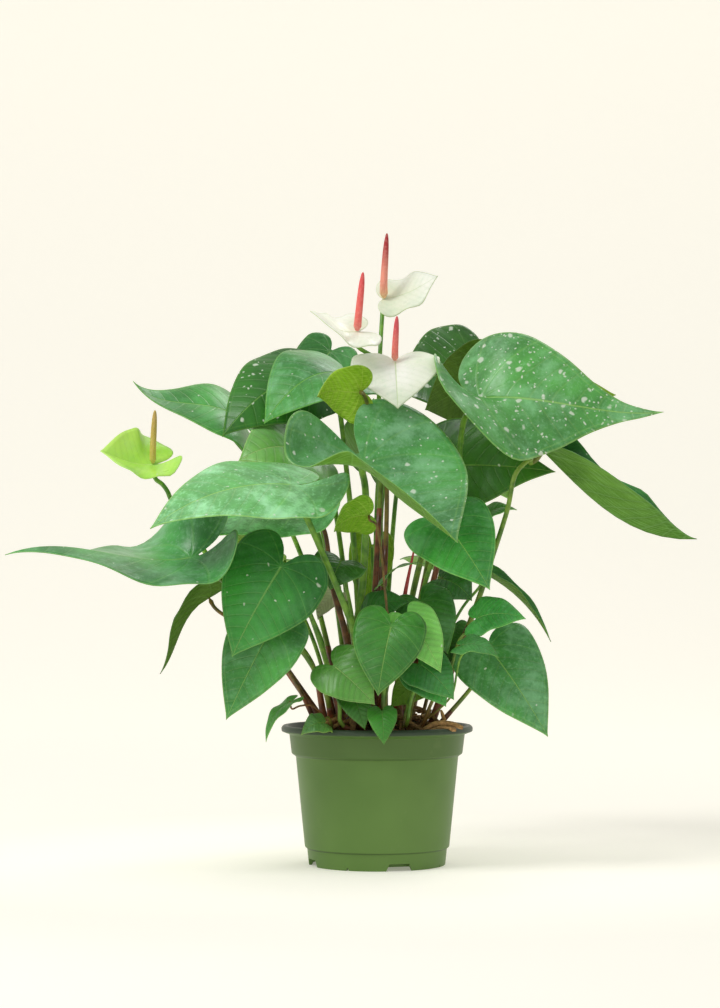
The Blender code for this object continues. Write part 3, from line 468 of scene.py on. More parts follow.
LEAVES = [
    # The large leaves that reach to the left.
    Leaf("left_reach", (190, 558), (5, 555), (-94, -134), 112, (0, -0.42, 0.9), bow=(0, 8),
         slim=0.3, lobe=0.85, left=(62, -18, -50, 5), right=(0, 8, 0, -10), lobes=(8, 38), wave=4,
         via=((217, 577, -86), (262, 612, -70), (312, 662, -50))),
    Leaf("left_upper", (290, 485), (150, 529), (-92, -125), 112, (-0.1, -0.5, 0.87), bow=(12, 12),
         left=(6, 8, 10, -20), right=(8, 8, 5, -30), lobes=(0, 22), stem=2.6,
         via=((303, 512, -90), (320, 548, -84), (345, 608, -76), (354, 640, -68)),
         foot=(-14, -46)),
    Leaf("left_under", (290, 512), (169, 545), (-34, -66), 98, (-0.1, -0.5, 0.85), bow=(8, 10),
         lobes=(0, 20), foot_radius=4.6, via=((322, 526, -36), (333, 587, -36), (350, 650, -36)),
         foot=(-20, -30)),
    Leaf("left_front", (281, 567), (232, 657), (-104, -112), 88, (-0.1, -0.92, 0.35), bow=(5, 5),
         left=(8, 6, 5, -20), right=(-12, -12, -10, -25), via=((304, 600, -84), (324, 655, -62)),
         foot=(-28, -46)),
    Leaf("left_low", (272, 628), (226, 720), (-92, -108), 66, (-0.1, -0.95, 0.3), bow=(4, 4),
         lobe=0.7, via=((299, 648, -84), (322, 686, -66)), foot=(-38, -34)),
    Leaf("left_hanging", (209, 598), (160, 674), (-40, -62), 34, (-0.5, 0.1, 0.6), bow=(6, 2),
         left=(35, 35, 30, 10), right=(35, 35, 30, 10), stem=1.6),
    Leaf("left_fill", (258, 541), (206, 562), (-30, -48), 60, (0, 0.45, 0.9), tone="bright",
         stem=1.6),
    Leaf("far_left", (243, 424), (133, 381), (60, 30), 92, (0.1, -0.5, 0.85), bow=(4, -6),
         slim=0.3, left=(10, 10, 10, -20), right=(4, 6, 8, -20)),
    # The large leaves at the top left.
    Leaf("top_left_spotted", (306, 372), (222, 437), (36, -2), 92, (-0.3, -0.75, 0.5),
         bow=(10, 10), left=(5, 5, 5, -12), right=(-25, -25, -20, -25), tone="dark"),
    Leaf("top_left_glossy", (343, 374), (264, 424), (2, -30), 104, (-0.15, -0.62, 0.72), lobe=0.5,
         bow=(16, 14), tone="dark"),
    Leaf("left_pale_fold", (306, 450), (238, 462), (10, -20), 92, (-0.1, -0.75, 0.6), bow=(8, 10),
         tone="light"),
    Leaf("back_lit", (360, 392), (317, 397), (-62, -68), 56, (0.25, 0.8, 0.5), bow=(4, 8),
         left=(0, 0, 0, -20), right=(0, 0, 0, -20), tone="bright", stem=1.7,
         via=((371, 420, -26), (376, 445, -18), (380, 480, -20))),
    Leaf("back_top_left", (330, 352), (300, 400), (80, 70), 56, (0, -0.8, 0.5)),
    Leaf("centre_gap", (366, 462), (374, 398), (28, 58), 60, (0, 0.5, 0.8), tone="dark", stem=1.7),
    # The large leaf in the middle.
    Leaf("centre", (364, 463), (458, 543), (-85, -175), 152, (-0.19, -0.7, 0.69), bow=(-8, -4),
         lobe=1.2, left=(28, 72, 78, -10), right=(0, 0, 0, -15), lobes=(22, 0), stem=3.0,
         via=((366, 500, -50), (366, 600, -36)), foot=(-9, -22)),
    # The large leaves that reach to the right.
    Leaf("right_big", (481, 399), (664, 412), (-20, -42), 130, (0.1, -0.95, 0.3), bow=(6, -6),
         slim=0.62, left=(140, 14, 5, -15), right=(0, 0, 5, -15), lobe=0.6, stem=2.6,
         via=((466, 416, -22), (460, 450, -28), (458, 490, -27), (450, 540, -18), (436, 590, -8)),
         foot=(22, -4)),
    Leaf("right_back", (506, 412), (616, 395), (47, 28), 106, (0, 0.7, 0.7), lobe=0.4,
         tone="bright"),
    Leaf("top_right_dark", (470, 370), (396, 392), (106, 98), 108, (0, -0.8, 0.5),
         via=((462, 420, 90), (445, 480, 62)), tone="dark"),
    Leaf("right_olive", (489, 382), (425, 410), (52, 36), 86, (0, 0.85, 0.5), lobe=0.7,
         via=((480, 425, 52), (468, 452, 44), (455, 500, 26)), tone="dark"),
    Leaf("right_dark", (447, 466), (556, 472), (12, -8), 88, (0, -0.95, 0.3), slim=0.3,
         tone="dark"),
    Leaf("right_curl", (544, 452), (697, 539), (-23, -71), 54, (0.25, -0.3, 0.9), bow=(-14, -18),
         lobe=0.65, slim=-1.2, left=(0, 85, 90, 0), right=(50, 62, 65, 0),
         via=((530, 459, -32), (515, 475, -38), (507, 510, -42), (491, 559, -40), (470, 620, -38)),
         foot=(44, -30)),
    Leaf("right_small_light", (480, 521), (517, 510), (10, 8), 36, (0, -0.4, 0.9), tone="light",
         stem=1.2),
    Leaf("centre_right", (444, 522), (490, 590), (-44, -76), 76, (-0.1, -0.85, 0.5), lobe=0.7),
    Leaf("right_low", (489, 648), (548, 737), (-45, -70), 74, (0.1, -0.95, 0.3), lobe=0.45,
         stem=1.6, via=((474, 684, -44),), foot=(50, -40)),
    Leaf("right_small", (478, 618), (526, 619), (-74, -84), 40, (0, -0.8, 0.6), stem=1.2,
         via=((460, 638, -72), (447, 672, -68)), foot=(34, -42), node="right_shoot"),
    Leaf("right_tiny", (463, 645), (499, 658), (-92, -102), 23, (0, -0.7, 0.7), stem=1.0,
         via=((455, 666, -86), (452, 690, -70)), node="right_shoot"),
    Leaf("right_narrow", (487, 575), (551, 642), (30, 20), 20, (0.3, -0.3, 0.8), lobe=0.5,
         left=(50, 50, 50, 5), right=(50, 50, 50, 5), stem=1.3),
    # The smaller leaves in front of the stems.
    Leaf("front", (391, 627), (378, 696), (-98, -104), 61, (-0.1, -0.97, 0.25), stem=1.6,
         node="front_shoot"),
    Leaf("front_light", (410, 620), (441, 673), (-80, -88), 42, (0.1, -0.95, 0.3), tone="light",
         stem=1.5, node="front_shoot"),
    Leaf("centre_dark", (422, 602), (448, 654), (-50, -58), 50, (0.1, -0.9, 0.4), tone="dark",
         stem=1.6, node="dark_shoot"),
    Leaf("back_right_dark", (442, 579), (472, 601), (-30, -36), 46, (0.1, -0.8, 0.5), tone="dark",
         stem=1.5, node="dark_shoot"),
    Leaf("right_inner_dark", (452, 630), (447, 676), (-18, -22), 34, (0, -0.9, 0.4), tone="dark",
         stem=1.2, node="dark_shoot"),
    Leaf("left_front_small", (335, 667), (375, 705), (-88, -94), 48, (-0.1, -0.9, 0.35),
         tone="light", stem=1.5, node="left_front_shoot"),
    Leaf("low_front", (352, 690), (365, 730), (-72, -80), 30, (0, -0.95, 0.2), stem=1.1,
         node="left_front_shoot"),
    Leaf("rim", (382, 712), (384, 745), (-88, -95), 25, (0, -0.95, 0.25), stem=1.0, foot=(4, -62)),
    Leaf("rim_left", (324, 723), (301, 735), (-76, -84), 22, (0, -0.8, 0.5), tone="bright",
         stem=1.0, via=((328, 717, -66),), foot=(-37, -51), node="left_rim_shoot"),
    Leaf("young_left", (290, 702), (266, 742), (-62, -74), 16, (-0.6, -0.6, 0.4), tone="light",
         stem=0.9, via=((306, 704, -56), (322, 712, -52)), foot=(-48, -46), node="left_rim_shoot"),
    Leaf("right_low_heart", (421, 665), (454, 700), (-80, -88), 42, (0.1, -0.95, 0.4), stem=1.4,
         node="right_low_shoot"),
    Leaf("right_low_second", (420, 672), (446, 707), (-68, -74), 38, (0.1, -0.95, 0.4), stem=1.2,
         node="right_low_shoot"),
    Leaf("dark_under", (420, 680), (391, 707), (-48, -54), 30, (0, 0.95, 0.2), tone="dark",
         stem=1.1),
    Leaf("behind_front", (370, 612), (410, 602), (-54, -58), 34, (0, -0.8, 0.6), tone="dark",
         stem=1.2),
    Leaf("left_centre", (341, 562), (330, 590), (-62, -70), 46, (0, -0.9, 0.4), tone="dark",
         stem=1.5),
    Leaf("centre_bright", (369, 515), (334, 532), (-66, -76), 44, (0, 0.7, 0.7), lobe=0.5,
         tone="bright", stem=1.0, via=((378, 530, -64), (385, 585, -70), (388, 625, -68))),
    Leaf("centre_low_bright", (372, 548), (366, 612), (50, 50), 40, (0, 0.9, 0.4), tone="bright",
         stem=1.3),
    Leaf("narrow_dark", (380, 584), (426, 564), (-50, -54), 18, (0, -0.1, 1), lobe=0.5, stem=1.1),
    Leaf("old_pale", (337, 594), (318, 620), (-12, -16), 26, (0, 0.6, 0.7), tone="pale", stem=1.0),
    # The leaves at the back, behind the stems.
    Leaf("back_left_high", (300, 480), (235, 530), (100, 150), 104, (-0.2, 0.35, 0.9),
         bow=(10, 10)),
    Leaf("back_right_high", (445, 470), (510, 500), (114, 168), 104, (0.2, 0.4, 0.9),
         bow=(10, 10)),
    Leaf("back_middle", (400, 440), (420, 478), (120, 205), 110, (0, 0.5, 0.85), bow=(12, 12)),
    Leaf("back_left_low", (285, 560), (245, 600), (90, 145), 88, (-0.2, 0.6, 0.7), bow=(8, 8)),
    Leaf("back_right_low", (436, 556), (466, 590), (90, 140), 70, (0.2, 0.6, 0.7), bow=(8, 8)),
]

BLOOMS = [
    Leaf("bloom_tall", (384, 299), (438, 276), (8, -6), 48, (0, -0.7, 0.7), bow=(-4, -3), lobe=0.4,
         slim=-0.7, left=(10, 8, 5, -15), right=(10, 8, 5, -15), wave=2, stem=1.9, tone="white",
         via=((380, 355, 4), (379, 400, 8), (380, 470, 6))),
    Leaf("bloom_left", (357, 332), (310, 311), (-44, -76), 58, (-0.2, -0.62, 0.7), bow=(-5, -3),
         left=(10, 8, 5, -15), right=(10, 8, 5, -15), wave=2, stem=1.8, tone="white",
         via=((381, 362, -28), (386, 392, -27), (384, 430, -12))),
    Leaf("bloom_front", (395, 362), (398, 409), (-44, -66), 76, (0, -0.9, 0.4), bow=(5, 4),
         left=(10, 8, 5, -15), right=(10, 8, 5, -15), wave=2, stem=1.8, tone="white",
         via=((391, 410, -6), (389, 460, 0))),
    Leaf("bloom_young", (153, 465), (100, 451), (10, -8), 74, (-0.1, -0.35, 0.93), bow=(-3, -2),
         lobe=1.5, slim=-0.5, left=(22, 50, 62, -10), right=(5, 2, 0, -10), lobes=(0, 4),
         wave=2, stem=2.0,
         tone="young", via=((166, 489, 12), (190, 530, 16))),
]

# The rolled new leaf: its stem radius is that of its point.
SPEAR = Leaf("red_spear", (415, 545), (416, 540), (-38, -38), 2, (0, -1, 0), stem=0.7,
             foot_radius=3.4, via=((415, 545, -38), (404, 600, -34), (398, 650, -30)),
             foot=(10, -16))

# The tip of each bloom's spadix, with its depth, and the radius at its foot and at its tip.
SPADICES = {
    "bloom_tall": ((387, 233, 4), 3.7, 2.6),
    "bloom_left": ((363, 272, -50), 3.5, 2.7),
    "bloom_front": ((397, 316, -52), 3.1, 2.4),
    "bloom_young": ((155, 410, 0), 2.8, 2.6),
}

SPADIX_TONES = {
    "bloom_tall": "pink",
    "bloom_left": "pink",
    "bloom_front": "pink",
    "bloom_young": "tan",
}


# The light: the sky, then each lamp's place, the place it faces, its width in metres and its watts.
SKY_COLOUR, SKY_LIGHT = (0.985, 0.99, 1.0), 0.6
LAMPS = {
    "key": ((-1.3, -1.0, 2.0), (0, 0, 0.3), 1.0, 25),
    "back": ((0.7, 1.2, 1.9), (0, 0, 0.35), 0.9, 8),
}
# The floor's glow, far off and at the pot's foot: two distances, and how strong it is at each.
FAR_GLOW, FOOT_GLOW = (0.5, 2.6, 0.12, 0.3), (0.22, 0.5, 0.13, 0.0)
# The floor: its sides, its front, where it starts to turn up, the radius of that turn, and its top.
FLOOR_SIDE, FLOOR_FRONT, FLOOR_BACK, FLOOR_TURN, FLOOR_TOP = 6.0, -4.0, 2.2, 1.5, 5.0
FLOOR_TURN_STEPS = 24
SENSOR_WIDTH = 36

# The loose bark: how many chips lie anywhere on the soil, and how far out chips may lie.
CHIP_COUNT, CHIP_REACH = 260, 69 * MM
# Each heap of chips: its middle, reach and height in millimetres, and how many chips it has.
HEAPS = ((30, -6, 34, 16, 150), (-31, -42, 17, 9, 70), (50, -37, 21, 13, 130))
# How clear of the stems a chip lies, flat on the soil or in a heap, and its middle's height over the soil.
FLAT_ROOM, HEAP_ROOM, CHIP_LIFT = 4.5 * MM, 2.5 * MM, 0.5 * MM
# What the chances in the plant's shades and its soil start from.
CHANCE_START = 7
# The least and most length, width and thickness of a splinter and of a flake in millimetres.
SPLINTER, FLAKE = ((5, 11), (1, 1.8), (1, 1.6)), ((2.5, 6.5), (2, 4.5), (1, 2))
SPLINTER_SHARE = 0.25
# A chip's slope along and across, how ragged its corners are, and its girth at the middle and the ends.
CHIP_SLOPE, CHIP_TILT, CHIP_RAGGED, CHIP_GIRTH = 0.25, 0.3, 0.35, (1.15, 0.75)
# Each root, stick or bark strip: the picture points and depths it passes, its radius and its shade.
STICKS = (
    (((321, 728, -54), (333, 720, -48), (347, 716, -42)), 2.1, 0.95),
    (((328, 730, -56), (339, 724, -52), (351, 719, -46)), 1.7, 0.8),
    (((316, 731, -50), (326, 723, -44), (336, 715, -38)), 1.5, 0.7),
    (((352, 732, -56), (353, 724, -54), (351, 717, -50)), 2.9, 0.45),
    (((424, 729, -52), (437, 724, -50), (451, 724, -48), (463, 728, -48)), 2.6, 1.0),
    (((430, 731, -56), (444, 728, -54), (456, 730, -52)), 2.2, 0.9),
    (((447, 729, -42), (444, 719, -42), (441, 710, -41)), 1.7, 0.95),
    (((396, 714, -42), (409, 722, -48), (423, 730, -54)), 1.7, 0.5),
    (((431, 710, -28), (425, 720, -38), (417, 730, -46)), 1.5, 0.6),
    (((413, 706, -22), (428, 713, -30), (441, 724, -42)), 1.8, 0.45),
    (((398, 706, -30), (402, 718, -42), (400, 730, -52)), 1.6, 0.35),
)
# A stick's sides and rings, its knots, how ragged they are, and how slim its ends are.
STICK_SIDES, STICK_RINGS, STICK_KNOTS, STICK_RAGGED, STICK_ENDS = 7, 14, 6, 0.25, 0.6

# How finely the pieces are worked out.
LARGE_BLADE = 75
LARGE_GRID, SMALL_GRID = (64, 20), (32, 10)
SHEET = 0.6 * MM
STEM_SIDES, STEM_RINGS = 12, 80
# A stout stem's dry sheath: the least foot radius with one, its last sample, its rings, its girth at both
# ends, and where on a stem its colour comes from.
SHEATH_LEAST, SHEATH_END, SHEATH_RINGS = 1.9 * MM, 6, 10
SHEATH_GIRTH, SHEATH_SPAN = (1.3, 1.03), (0.3, 0.1)
# The swelling below a blade: its place, length and height, and the blade's width above which it is there.
KNEE_PLACE, KNEE_LENGTH, KNEE_SWELL, KNEE_BLADE = 0.93, 0.035, 0.45, 30
# A spadix: its points round and along, its bumps' depth and how far they stand out, its least radius, the
# rows of bumps round it, a row's length, and how its girth grows at the foot and ends at the tip.
SPADIX_ROUND, SPADIX_LONG = 40, 130
SPADIX_BUMP, SPADIX_KNOB, SPADIX_LEAST = 0.28 * MM, 1.4, 0.05 * MM
SPADIX_ROWS, SPADIX_ROW_LENGTH = 9, 1.7 * MM
SPADIX_FOOT, SPADIX_GROWTH, SPADIX_TIP_POWER = 0.45, 4, 8
# The soil: its points round and its rings, its outer and inner ring, and its skirt's radius and level.
SOIL_ROUND, SOIL_RINGS = 180, 64
SOIL_EDGE_MM, SOIL_MIDDLE_MM, SKIRT_MM, SKIRT_LEVEL = 73.2, 1.2, 71.2, 99 * MM
# The soil's crumbs: the spans of a wave's beat and start, how many waves there are, and their height.
CRUMB_WAVE, CRUMB_COUNT, CRUMB_HEIGHT = ((60, 420), (0, 6.3)), 24, 0.22 * MM
# A heading that no tube starts along.
FIRST_ACROSS = (0.13, 1, 0.21)

POT_ROUND = 192
# The pot's section as radius and height, from the middle of its underside out, up, and down to its floor.
POT_SECTION_MM = [
    (0, 0), (20, 0), (22, 3), (55.5, 3), (56, 0), (58.7, 0), (60.2, 14), (62.2, 15.5), (70, 93),
    (73.6, 95.5), (75.6, 112), (82.3, 114.5), (82.5, 117.5), (81, 119.5), (77.5, 119.5), (74, 112),
    (72, 96), (68.4, 93), (58.6, 14.5), (56.5, 5), (0, 5),
]
# The section's corners are turned on arcs of this size, or less where there is no room for that.
CORNER_MM, CORNER_ROOM, CORNER_STEPS = 0.7, 0.45, 3
# The levels of the painted shadow lines under the foot's and the collar's steps.
STEP_SHADOW_LEVELS = (14.7 * MM, 94.2 * MM)
# The cuts through the foot ring: a turn in degrees, then the width below and above and the height.
CUTS = {"notch": (18.4, 24 * MM, 18 * MM, 6 * MM), "vent": (-25.5, 3.2 * MM, 0.6 * MM, 2.5 * MM)}
CUT_SPAN, CUT_BELOW = (52 * MM, 66 * MM), -1 * MM
# Edges that are sharper than this stay crisp.
SHARP_EDGE = math.radians(40)

# Colours as they are seen, from 0 to 255. A tone's: the upper face dark and light, the underside dark and
# light, and the veins.
TONES = {
    "green": ((34, 104, 26), (68, 154, 54), (86, 134, 30), (116, 164, 54), (140, 190, 96)),
    "dark": ((26, 82, 12), (56, 122, 28), (80, 124, 22), (104, 150, 38), (116, 168, 64)),
    # The bright tone's yellow-green undersides are partly their own colour and partly painted light: the
    # glow of blades lit from behind.
    "bright": ((50, 108, 36), (88, 150, 56), (96, 150, 12), (130, 182, 34), (170, 205, 80)),
    "light": ((76, 150, 52), (116, 186, 82), (120, 170, 56), (150, 196, 86), (175, 215, 130)),
    "pale": ((176, 196, 136), (216, 224, 180), (196, 210, 156), (220, 228, 186), (226, 230, 196)),
    "young": ((150, 212, 48), (196, 236, 100), (150, 204, 70), (186, 222, 104), (204, 232, 140)),
    "white": ((230, 236, 208), (251, 249, 240), (226, 234, 200), (246, 246, 230), (196, 218, 156)),
}
PETAL_TONES = ("white", "young")
STEM_GREENS, STEM_BROWNS = ((76, 132, 34), (124, 176, 58)), ((84, 46, 30), (140, 80, 48))
SPEAR_REDS, POT_GREENS = ((150, 52, 40), (196, 60, 62)), ((86, 120, 52), (98, 132, 62))
SOIL_BROWNS, CHIP_BROWNS = ((46, 29, 13), (112, 80, 40)), ((84, 54, 24), (196, 152, 96))
FLOOR_WHITES, FLOOR_GLOW = ((243, 240, 230), (243, 240, 229)), (253, 249, 237)
# A spadix's colours at its foot, middle and tip.
SPADIX_COLOURS = {
    "bloom_tall": ((250, 206, 156), (244, 158, 136), (168, 26, 40)),
    "bloom_left": ((248, 150, 138), (246, 116, 108), (230, 84, 86)),
    "bloom_front": ((248, 172, 150), (242, 124, 114), (218, 84, 94)),
    "bloom_young": ((230, 212, 116), (218, 194, 98), (196, 170, 84)),
}
# Coats over a look's first colour: the share and the colour, then where a coat starts to show along what it
# follows and where it is full.
COATS = {
    # The film on the upper faces: a whitish coat that is partly a dried film and partly a painted sheen.
    "film": (1.0, (140, 196, 148)),
    "film grains": (0.8, (140, 196, 148)),
    "drop": (0.7, (224, 232, 214)),
    "knee": (0.4, (122, 96, 44)),
    "foot": (0.75, (116, 60, 40), 0.26, 0.06),
    "spear": (0.3, (110, 70, 40)),
    # Painted shade between a spadix's bumps.
    "groove": (0.5, (150, 70, 60), 0.35, 0.0),
    "spadix": (0.14, (252, 222, 200)),
    "crumb": (0.35, (130, 98, 62), 0.5, 0.2),
    "fleck": (0.6, (206, 196, 172)),
    "chips": (0.5, (50, 32, 20)),
    "collar": (0.6, (68, 94, 42), 94 * MM, 95.5 * MM),
    "lip": (0.85, (44, 58, 48), 114 * MM, 115.5 * MM),
    # Painted shadow lines under the foot's and the collar's steps.
    "step": (0.5, (44, 62, 30), 1.0 * MM, 0.4 * MM),
    "inside": (1.0, (40, 48, 44)),
    "pot dust": (0.1, (150, 165, 120)),
}
# Where two coats begin and end: the knee on its stem, and the pot's inside by its reach and its level.
KNEE_START, KNEE_END = (0.84, 0.9), (1.0, 0.95)
WALL_SLOPE, INSIDE_REACH, INSIDE_LEVEL = 0.1, (63.6 * MM, 63.2 * MM), (98 * MM, 100 * MM)
SPEAR_SPAN, SPADIX_SPANS = (0.05, 0.9), ((0.0, 0.45), (0.5, 0.92))

# How brown a stem is, where it isn't plain green.
BROWN_STEMS = {
    "left_under": 0.95, "centre_bright": 0.8, "young_left": 0.9, "left_hanging": 0.8, "right_curl": 0.25,
    "back_lit": 0.7, "left_reach": 0.3, "right_low": 0.35, "right_small": 0.3, "right_dark": 0.3,
    "left_low": 0.3, "old_pale": 0.7, "rim": 0.4, "rim_left": 0.6, "dark_under": 0.5,
}
PLAIN_STEM = 0.08
# How much lighter or darker than its tone a blade is, partly its own tone and partly painted light and
# shade, then how much light and hue differ by chance.
# Painted light lifts blades that lie in the shade of others and blades lit from behind, and painted shade
# darkens shaded ones.
BLADE_LIGHT = {
    "left_upper": 1.4, "right_big": 1.15, "rim": 0.85, "left_hanging": 0.65, "left_low": 1.05,
    "low_front": 0.55, "right_dark": 0.95, "far_left": 1.3, "right_curl": 0.75, "left_under": 2.0,
    "right_low": 1.3, "top_left_glossy": 1.3, "top_left_spotted": 0.85, "back_lit": 1.1, "centre_right": 1.5,
    "right_small": 1.6, "left_front_small": 0.85, "front": 1.05, "back_left_low": 1.2,
    "front_light": 1.35, "top_right_dark": 0.8, "right_olive": 0.7, "bloom_young": 1.15,
}
LIGHT_CHANCE, HUE_CHANCE = 0.16, 0.022
# How much of the whitish film and painted sheen covers a blade's upper face.
FILM_AND_SHEEN = {
    "left_upper": 0.62, "left_under": 0.5, "left_reach": 0.3, "centre": 0.38, "right_big": 0.3,
    "top_left_glossy": 0.22, "top_left_spotted": 0.02, "left_low": 0.2, "right_low": 0.3,
    "back_left_low": 0.2, "front": 0.06, "left_front": 0.08, "left_front_small": 0.03, "rim": 0.0,
    "top_right_dark": 0.05, "right_dark": 0.05, "right_olive": 0.0, "low_front": 0.0,
}
PLAIN_FILM_AND_SHEEN = 0.12
# How many dried drops a blade's upper face has.
SPOTTED = {
    "right_big": 1.0, "top_right_dark": 0.7, "centre": 0.45, "top_left_spotted": 0.5, "top_left_glossy": 0.3,
    "left_front": 0.25, "left_upper": 0.3,
}
PLAIN_SPOTS = 0.12

# Patches: the noise's scale, detail and roughness, then where it starts to show and where it is full.
PATCHES = {
    "blade": (16, 4, 0.55, 0.32, 0.68), "film": (26, 7, 0.72, 0.44, 0.66),
    "film grains": (330, 2, 0.55, 0.52, 0.72), "stem": (90, 4, 0.55, 0.35, 0.65),
    "spadix": (500, 2, 0.55, 0.4, 0.7), "soil": (60, 5, 0.65, 0.35, 0.65),
    "chips": (420, 4, 0.55, 0.35, 0.65), "pot": (9, 3, 0.55, 0.3, 0.7),
    "pot dust": (42, 5, 0.7, 0.58, 0.75), "spear": (160, 3, 0.55, 0.4, 0.7),
}
# Relief: the noise's scale and detail, its depth in millimetres and its strength.
RELIEF = {
    "stem": (260, 3, 0.25, 0.5), "spadix": (900, 2, 0.1, 0.5), "chips": (500, 4, 0.6, 1.0),
    "pot": (1500, 2, 0.05, 0.35), "spear": (300, 2, 0.2, 0.5),
}
# How matt a surface is, how much patches change that, and how glossy the surfaces are that aren't plain.
MATT = {"stem": 0.34, "spear": 0.38, "spadix": 0.5, "soil": 0.9, "chips": 0.85, "pot": 0.44, "floor": 0.95}
PATCH_MATT = 0.15
GLOSS = {"spadix": 0.25, "pot": 0.35, "floor": 0.1}
SPADIX_DEPTH = {"subsurface_weight": 0.1, "subsurface_radius": (0.002, 0.0008, 0.0005)}
# The soil's crumbs: their scale, the rare ones that are pale flecks, and a fleck's edge. Then the soil's
# relief: its noise, the dips between the crumbs, and its depth.
CRUMB_SCALE, FLECK_LEAST, FLECK_EDGE = 210.0, 0.93, (0.5, 0.3)
SOIL_NOISE, CRUMB_DIP, SOIL_RELIEF = (240.0, 5.0, 0.7), -0.6, 1.6 * MM
FLOOR_NOISE = (2.0, 2.0)

# The veins' places are shares of a blade's length and half width.
# The midrib: its width at the joint, its taper, the share of its core, and where it starts.
RIB_WIDTH, RIB_TAPER, RIB_CORE, RIB_START = 0.032, -0.022, 0.3, (-0.01, 0.015)
# The side veins: how many, the right side's shift, their sweep, their waver, and their width and its taper.
VEIN_COUNT, VEIN_SHIFT, VEIN_POWER, VEIN_SWEEP = 8.0, 0.4, 1.35, 0.38
WAVER_NOISE, WAVER = (22.0, 1.0), 0.5
VEIN_WIDTH, VEIN_TAPER, VEIN_CORE = 0.085, -0.045, 0.015
# The veins that fan out at the joint: their widest reach, number, first place, bend, width and end.
FAN_SIDE, FAN_COUNT, FAN_FIRST, FAN_BEND = 0.55, 1.75, 0.15, 0.9
FAN_WIDTH, FAN_END = (0.02, 0.004), (0.12, 0.02)
EDGE_VEIN, EDGE_WIDTH, MARGIN = 0.93, (0.014, 0.003), (0.972, 0.992)
NET_SCALE, NET_WIDTH = 300.0, (0.12, 0.0)
# The shares of the vein colour on the net, the edge vein, the side veins, the midrib and the margin.
VEIN_SHARES = {
    "upper": (0.05, 0.18, 0.14, 0.6, 0.5), "under": (0.12, 0.18, 0.42, 0.6, 0.5),
    "petal_upper": (0.05, 0.18, 0.08, 0.6, 0.5), "petal_under": (0.12, 0.18, 0.08, 0.6, 0.5),
}
# The heights of the side veins, the net and the fields between veins, where the midrib's is one.
SIDE_HEIGHT, NET_HEIGHT, FIELD_HEIGHT, VEIN_STRENGTH = 0.4, 0.06, -0.7, 0.7
# How much lighter the fields' middles are, how light their rims are, and the veins' depth.
FIELDS = {"leaf": (0.3, 0.925, 0.6 * MM), "petal": (0.06, 0.985, 0.25 * MM)}
# How matt and how glossy a face is, and which way its veins stand.
FACES = {"upper": (0.22, 0.34, -1.0), "under": (0.38, 0.25, 1.0)}
# How much patches of this scale and the midrib add to how matt a face is.
MATT_SCALE, MATT_PATCHES, MATT_RIB = 60.0, 0.2, 0.1
# The underside's fine pale streaks, which are painted highlights: their scale along and across, where they
# show, and their share.
UNDER_SHEEN_STREAKS, SHEEN_STREAK_SPAN, SHEEN_STREAK_SHARE = (5.0, 38.0, 0.0), (0.45, 0.62), 0.5
# The share of the film and painted sheen in patches and all over.
FILM_AND_SHEEN_PATCHES, FILM_AND_SHEEN_EVEN = 1.3, 0.4
# The drops: their cells' scale and how many cells hold one, a drop's edge, and the cells' stirring.
DROPS, DROP_EDGE = ((190.0, 0.9), (80.0, 0.7)), (0.24, 0.12)
STIR_SCALE, STIR_REACH = 120.0, 7 * MM


def linear(colour):
    """A seen colour from 0 to 255 as the light it sends back."""
    seen = np.asarray(colour, float) / 255
    return tuple(float(v) for v in np.where(seen <= 0.04045, seen / 12.92, ((seen + 0.055) / 1.055) ** 2.4))


class Value:
    """A number, place or colour that a node gives out. Sums and products of values make further nodes."""

    def __init__(self, look, socket):
        self.look = look
        self.socket = socket

    def __add__(self, other):
        return self.look.maths("ADD", self, other)

    def __sub__(self, other):
        return self.look.maths("SUBTRACT", self, other)

    def __rsub__(self, other):
        return self.look.maths("SUBTRACT", other, self)

    def __mul__(self, other):
        return self.look.maths("MULTIPLY", self, other)

    def __pow__(self, other):
        return self.look.maths("POWER", self, other)

    def __abs__(self):
        return self.look.maths("ABSOLUTE", self)

    def spread(self, low, high, first=0.0, last=1.0):
        """Passes smoothly from first, where this is low, to last, where this is high."""
        inputs = dict(enumerate((self, low, high, first, last)))
        return self.look.node("MapRange", 0, inputs, interpolation_type="SMOOTHSTEP")

    def from_half(self):
        """How far the value is from the half way between two whole numbers."""
        return abs(self.look.maths("FRACT", self) - 0.5)


